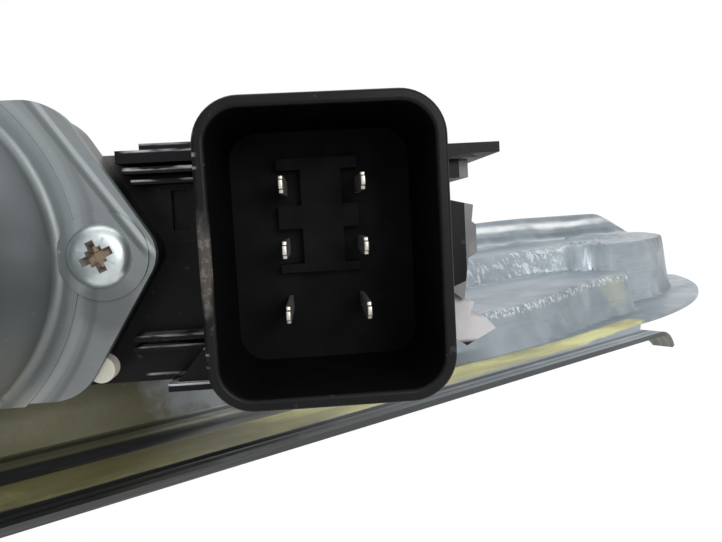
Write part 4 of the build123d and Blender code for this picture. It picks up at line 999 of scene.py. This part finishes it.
class REGULATOR_OT_screws(bpy.types.Operator):
    """Models the two pan head screws of the motor flange with cross recess and tick marks"""

    bl_idname = "regulator.screws"
    bl_label = "Flange screws"

    def execute(self, context):
        made = [self.one(side * SCREW_ASIDE, SCREW_UP, turn) for side, turn in ((1, 22), (-1, 55))]
        obj = joined(made)
        smooth(obj, 40)
        paint(obj, screw_finish())
        settle(obj, "flange_screw_pair")
        register_piece(obj, "regulator", "bright_zinc", "flange_screws")
        return {"FINISHED"}

    def one(self, across, up, turn):
        """One screw, spun from its half section, cut and put in its place."""
        mesh = bpy.data.meshes.new("screw_profile")
        edges = [(i, i + 1) for i in range(len(SCREW_PROFILE) - 1)]
        mesh.from_pydata([(r * MM, 0, t * MM) for r, t in SCREW_PROFILE], edges, [])
        obj = bpy.data.objects.new("screw", mesh)
        bpy.context.scene.collection.objects.link(obj)
        edit(obj)
        bpy.ops.mesh.spin(steps=56, angle=math.tau, center=(0, 0, 0), axis=(0, 0, 1), use_auto_merge=True)
        bpy.ops.mesh.select_all(action="SELECT")
        bpy.ops.mesh.remove_doubles(threshold=1e-6)
        bpy.ops.mesh.normals_make_consistent(inside=False)
        close_edit()
        arms = []
        for quarter in (0, 90):
            arms.append(self.wedge(4.5, 1.15, 2.6, 0.6, 2.0, quarter))
            arms.append(self.wedge(5.5, 0.16, 5.1, 0.12, 3.5, quarter + 45))
        arms.append(self.wedge(2.3, 2.3, 1.1, 1.1, 1.7, 0))
        for arm in arms:
            cut(obj, arm, "DIFFERENCE")
        spot = Matrix.Translation(motor_point(across, up, 0)) @ MOTOR_AXES.to_4x4()
        obj.data.transform(spot @ Matrix.Rotation(math.radians(turn), 4, "Z"))
        return obj

    def wedge(self, long_top, wide_top, long_low, wide_low, low, turn):
        """A tapered cutter for one arm of the recess, from above the head down to low."""
        bpy.ops.mesh.primitive_cube_add(size=1)
        tool = bpy.context.object
        for vertex in tool.data.vertices:
            top = vertex.co.z > 0
            half_long, half_wide = (long_top / 2, wide_top / 2) if top else (long_low / 2, wide_low / 2)
            vertex.co.x = math.copysign(half_long, vertex.co.x) * MM
            vertex.co.y = math.copysign(half_wide, vertex.co.y) * MM
            vertex.co.z = (4.2 if top else low) * MM
        tool.data.transform(Matrix.Rotation(math.radians(turn), 4, "Z"))
        return tool


# ---------------- eased solids and finishes
# Name of the eased copy of each solid, and the width of its bevel in millimetres
EASED = {
    "motor_can": ("drawn_motor_can", 0.32),
    "gear_housing": ("moulded_gear_housing", 0.3),
    "connector_module": ("moulded_connector", 0.22),
    "terminals": ("contact_blades", 0.12),
    "brush_card": ("moulded_brush_card", 0.25),
    "carrier": ("moulded_carrier", 0.4),
    "drum_housing": ("moulded_drum_housing", 0.3),
    "clamp_plate": ("clamp_strip", 0.3),
    "gear_cover": ("pressed_cover", 0.25),
    "end_bumpers": ("rubber_bumpers", 0.3),
}

# Corners of the latch hook across the motor, as built and as drawn out
HOOK_CORNERS = (
    ((70.4, -6.0), (70.6, -7.8)), ((73.0, -8.0), (71.9, -8.3)), ((70.8, -8.6), (71.3, -9.8)),
    ((73.3, -9.0), (73.2, -10.2)), ((73.6, -11.0), (74.4, -11.6)), ((70.4, -11.8), (70.8, -13.5)),
)
SOCKET_ASIDE, SOCKET_UP = 54.6, -1.0  # middle of the connector's socket in the motor's frame


def slot_of(node_name):
    """The record's slot of a node, which its imported material is named after."""
    materials = frame["nodes"][node_name].data.materials
    return materials[0].name.split(".")[0] if materials and materials[0] else "black_plastic"


def beside_shell(place):
    """How far a point of the fin, the side bar or the latch hook is drawn out, across and up."""
    if place.x > 72.6 and place.y > 9.2:
        return 2.0, 0
    if place.x > 70.9 and -5.0 < place.y < 3.4:
        return 2.7, 1.2 if place.y < -3 else -1.8
    if place.x > 69.2 and -5.8 < place.y < 9.0:
        return 1.7, -0.9 if 3.4 < place.y < 5.4 else 0
    if place.x > 69.2 and place.y <= -5.8:
        corner, drawn = min(HOOK_CORNERS, key=lambda pair: math.dist(place.xy, pair[0]))
        return drawn[0] - corner[0], drawn[1] - corner[1]
    return 0, 0


def under_flange(place):
    """How far a point of the brush card's tongue is drawn in under the flange."""
    return (-1.1, 1.0) if math.hypot(place.x, place.y) > 27.0 else (0, 0)


class REGULATOR_OT_eased(bpy.types.Operator):
    """Eases the edges of the can, the mouldings and the clamp, and gives them their finishes"""

    bl_idname = "regulator.eased"
    bl_label = "Can and mouldings"

    def execute(self, context):
        bodies = {n: o.get("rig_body") for n, o in frame["nodes"].items()}
        for node_name, (name, width) in EASED.items():
            slot_name = slot_of(node_name)
            obj = eased_copy(node_name, name, width * MM)
            paint(obj, finish(slot_name))
            if node_name == "connector_module":
                self.draw_out(obj, beside_shell)
                self.line_socket(obj)
            elif node_name == "end_bumpers":
                self.shorten(obj)
            elif node_name == "brush_card":
                self.draw_out(obj, under_flange)
            register_piece(obj, bodies[node_name], slot_name, node_name)
        return {"FINISHED"}

    def draw_out(self, obj, shift_at):
        """Moves the points that a rule names, in the gear motor's frame."""
        for vertex in obj.data.vertices:
            vertex.co += (MOTOR_AXES @ Vector((*shift_at(in_motor(vertex.co)), 0))) * MM

    def shorten(self, obj):
        """Draws the bumpers' lower ends up behind the lip and keeps their shoulders under the sheet."""
        for vertex in obj.data.vertices:
            below = (STRIP_Z - 1.5) * MM - vertex.co.z
            if below > 0:
                vertex.co.z += below * 0.42
            elif abs(vertex.co.z - STRIP_Z * MM) < 0.4 * MM:
                vertex.co.z -= 0.7 * MM

    def line_socket(self, obj):
        """Gives the faces inside the connector's socket their own, matt finish, darkened as painted shade
        in the recess.
        """
        obj.data.materials.append(socket_finish())
        for face in obj.data.polygons:
            place = in_motor(face.center)
            across, up = abs(place.x - SOCKET_ASIDE), abs(place.y - SOCKET_UP)
            if across < 12.7 and up < 16.1 and -12.5 < place.z < 10.6:
                face.material_index = 1


def finish(slot_name):
    """The finish of a material slot, made once."""
    made = bpy.data.materials.get("finish_" + slot_name)
    if made:
        return made
    if slot_name in OWN_FINISHES:
        made = OWN_FINISHES[slot_name]()
    else:
        made = plain_finish(slot_name, *SLOT_FINISHES[slot_name])
    made.name = "finish_" + slot_name
    return made


class REGULATOR_OT_finishes(bpy.types.Operator):
    """Gives every remaining solid the finish of its slot"""

    bl_idname = "regulator.finishes"
    bl_label = "Finishes"

    def execute(self, context):
        for node_name, obj in frame["nodes"].items():
            made = finish(slot_of(node_name))
            for index in range(len(obj.data.materials)):
                obj.data.materials[index] = made
        return {"FINISHED"}


# ---------------- studio
# Name of each lamp, the setting of its power, its size, its place and what it faces, in metres
LAMPS = (
    ("overhead", "key_power", 1.1, (0.15, 0.25, 1.0), (0.1, 0.0, 0.0)),
    ("beside_camera", "fill_power", 0.6, (-0.5, -0.9, 0.55), (0.05, 0.0, 0.0)),
    ("low_front", "low_power", 0.3, (-0.04, -0.72, 0.2), (0.07, -0.04, -0.02)),
)
CAMERA_PLACE = (49.1 * MM, -147.0 * MM, 14.5 * MM)
CAMERA_FORWARD, CAMERA_UP = (0.6381, 0.7663, -0.0762), (0.0902, 0.0239, 0.9956)


def seen_rays(tree):
    """One for camera, glossy and transmission rays."""
    path = tree.nodes.new("ShaderNodeLightPath").outputs
    direct = maths("MAXIMUM", path["Is Camera Ray"], path["Is Glossy Ray"])
    return maths("MAXIMUM", direct, path["Is Transmission Ray"])


class REGULATOR_OT_stage(bpy.types.Operator):
    """Builds the pale floor, the surrounding light, three soft lamps and the camera"""

    bl_idname = "regulator.stage"
    bl_label = "Studio"

    def execute(self, context):
        studio = context.scene.studio_settings
        self.floor(context)
        self.surround(context, studio.ambient)
        for name, setting, size, place, target in LAMPS:
            self.lamp(name, getattr(studio, setting), size, place, target)
        self.camera(context, studio.lens)
        context.scene.view_settings.view_transform = "Standard"
        return {"FINISHED"}

    def floor(self, context):
        """A pale floor just under the object, nearly white where it is seen, which keeps the shadow."""
        low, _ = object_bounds()
        bpy.ops.mesh.primitive_plane_add(size=12, location=(0, 0, low.z - 0.0004))
        floor = settle(context.object, "studio_floor")
        material, shader, coords = new_material("pale_floor")
        cloud = noise(coords, 3.0, 2.0)
        tone = blend(cloud, (0.86, 0.86, 0.86), (0.9, 0.9, 0.9))
        fill(shader, {"Base Color": tone, "Roughness": 0.9})
        tree = material.node_tree
        white = add_node("Emission", {}, {"Color": (1, 1, 1, 1), "Strength": 1.06}, tree)
        sides = {0: product(seen_rays(tree), 0.93), 1: shader.outputs[0], 2: white.outputs[0]}
        mixed = add_node("MixShader", {}, sides).outputs[0]
        fill(tree.nodes["Material Output"], {"Surface": mixed})
        paint(floor, material)
        floor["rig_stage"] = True

    def surround(self, context, strength):
        """Soft light from all sides, white where it is seen."""
        world = bpy.data.worlds.new("soft_surround")
        context.scene.world = world
        world.use_nodes = True
        tree = world.node_tree
        background = tree.nodes["Background"]
        fill(background, {"Color": (0.93, 0.96, 1.0, 1), "Strength": strength})
        white = add_node("Background", {}, {"Color": (1, 1, 1, 1), "Strength": 1.0}, tree)
        sides = {0: seen_rays(tree), 1: background.outputs[0], 2: white.outputs[0]}
        mixed = add_node("MixShader", {}, sides).outputs[0]
        fill(tree.nodes["World Output"], {"Surface": mixed})

    def lamp(self, name, power, size, place, target):
        data = bpy.data.lights.new(name, "AREA")
        data.energy, data.size = power, size
        obj = bpy.data.objects.new(name, data)
        bpy.context.scene.collection.objects.link(obj)
        obj.location = place
        obj.rotation_euler = (Vector(target) - Vector(place)).to_track_quat("-Z", "Y").to_euler()
        obj.visible_camera = False

    def camera(self, context, lens):
        data = bpy.data.cameras.new("view_camera")
        data.lens, data.sensor_width = lens, 36.0
        data.clip_start, data.clip_end = 0.004, 60.0
        obj = bpy.data.objects.new("view_camera", data)
        context.scene.collection.objects.link(obj)
        forward = Vector(CAMERA_FORWARD).normalized()
        right = forward.cross(Vector(CAMERA_UP)).normalized()
        axes = Matrix((right, right.cross(forward), -forward)).transposed().to_4x4()
        obj.matrix_world = Matrix.Translation(CAMERA_PLACE) @ axes
        context.scene.camera = obj


class REGULATOR_PT_panel(bpy.types.Panel):
    """Lists the operators and their settings"""

    bl_label = "Window regulator"
    bl_idname = "REGULATOR_PT_panel"
    bl_space_type = "VIEW_3D"
    bl_region_type = "UI"
    bl_category = "Regulator"

    def draw(self, context):
        layout = self.layout
        for name in ("rail_sizes", "finish_colours", "studio_settings"):
            group = getattr(context.scene, name)
            for prop in group.__annotations__:
                layout.prop(group, prop)
        for made in OPERATORS:
            layout.operator(made.bl_idname)


OPERATORS = (
    REGULATOR_OT_rail, REGULATOR_OT_screws, REGULATOR_OT_eased, REGULATOR_OT_finishes, REGULATOR_OT_stage,
)
GROUPS = {"rail_sizes": RailSizes, "finish_colours": FinishColours, "studio_settings": StudioSettings}


def register():
    for made in (*GROUPS.values(), *OPERATORS, REGULATOR_PT_panel):
        bpy.utils.register_class(made)
    for name, made in GROUPS.items():
        setattr(bpy.types.Scene, name, bpy.props.PointerProperty(type=made))


def unregister():
    for name in GROUPS:
        delattr(bpy.types.Scene, name)
    for made in (REGULATOR_PT_panel, *reversed(OPERATORS), *reversed(list(GROUPS.values()))):
        bpy.utils.unregister_class(made)


def main():
    register()
    make_groups()
    bpy.ops.regulator.rail()
    bpy.ops.regulator.screws()
    bpy.ops.regulator.eased()
    bpy.ops.regulator.finishes()
    bpy.ops.regulator.stage()


if __name__ == "__main__":
    main()
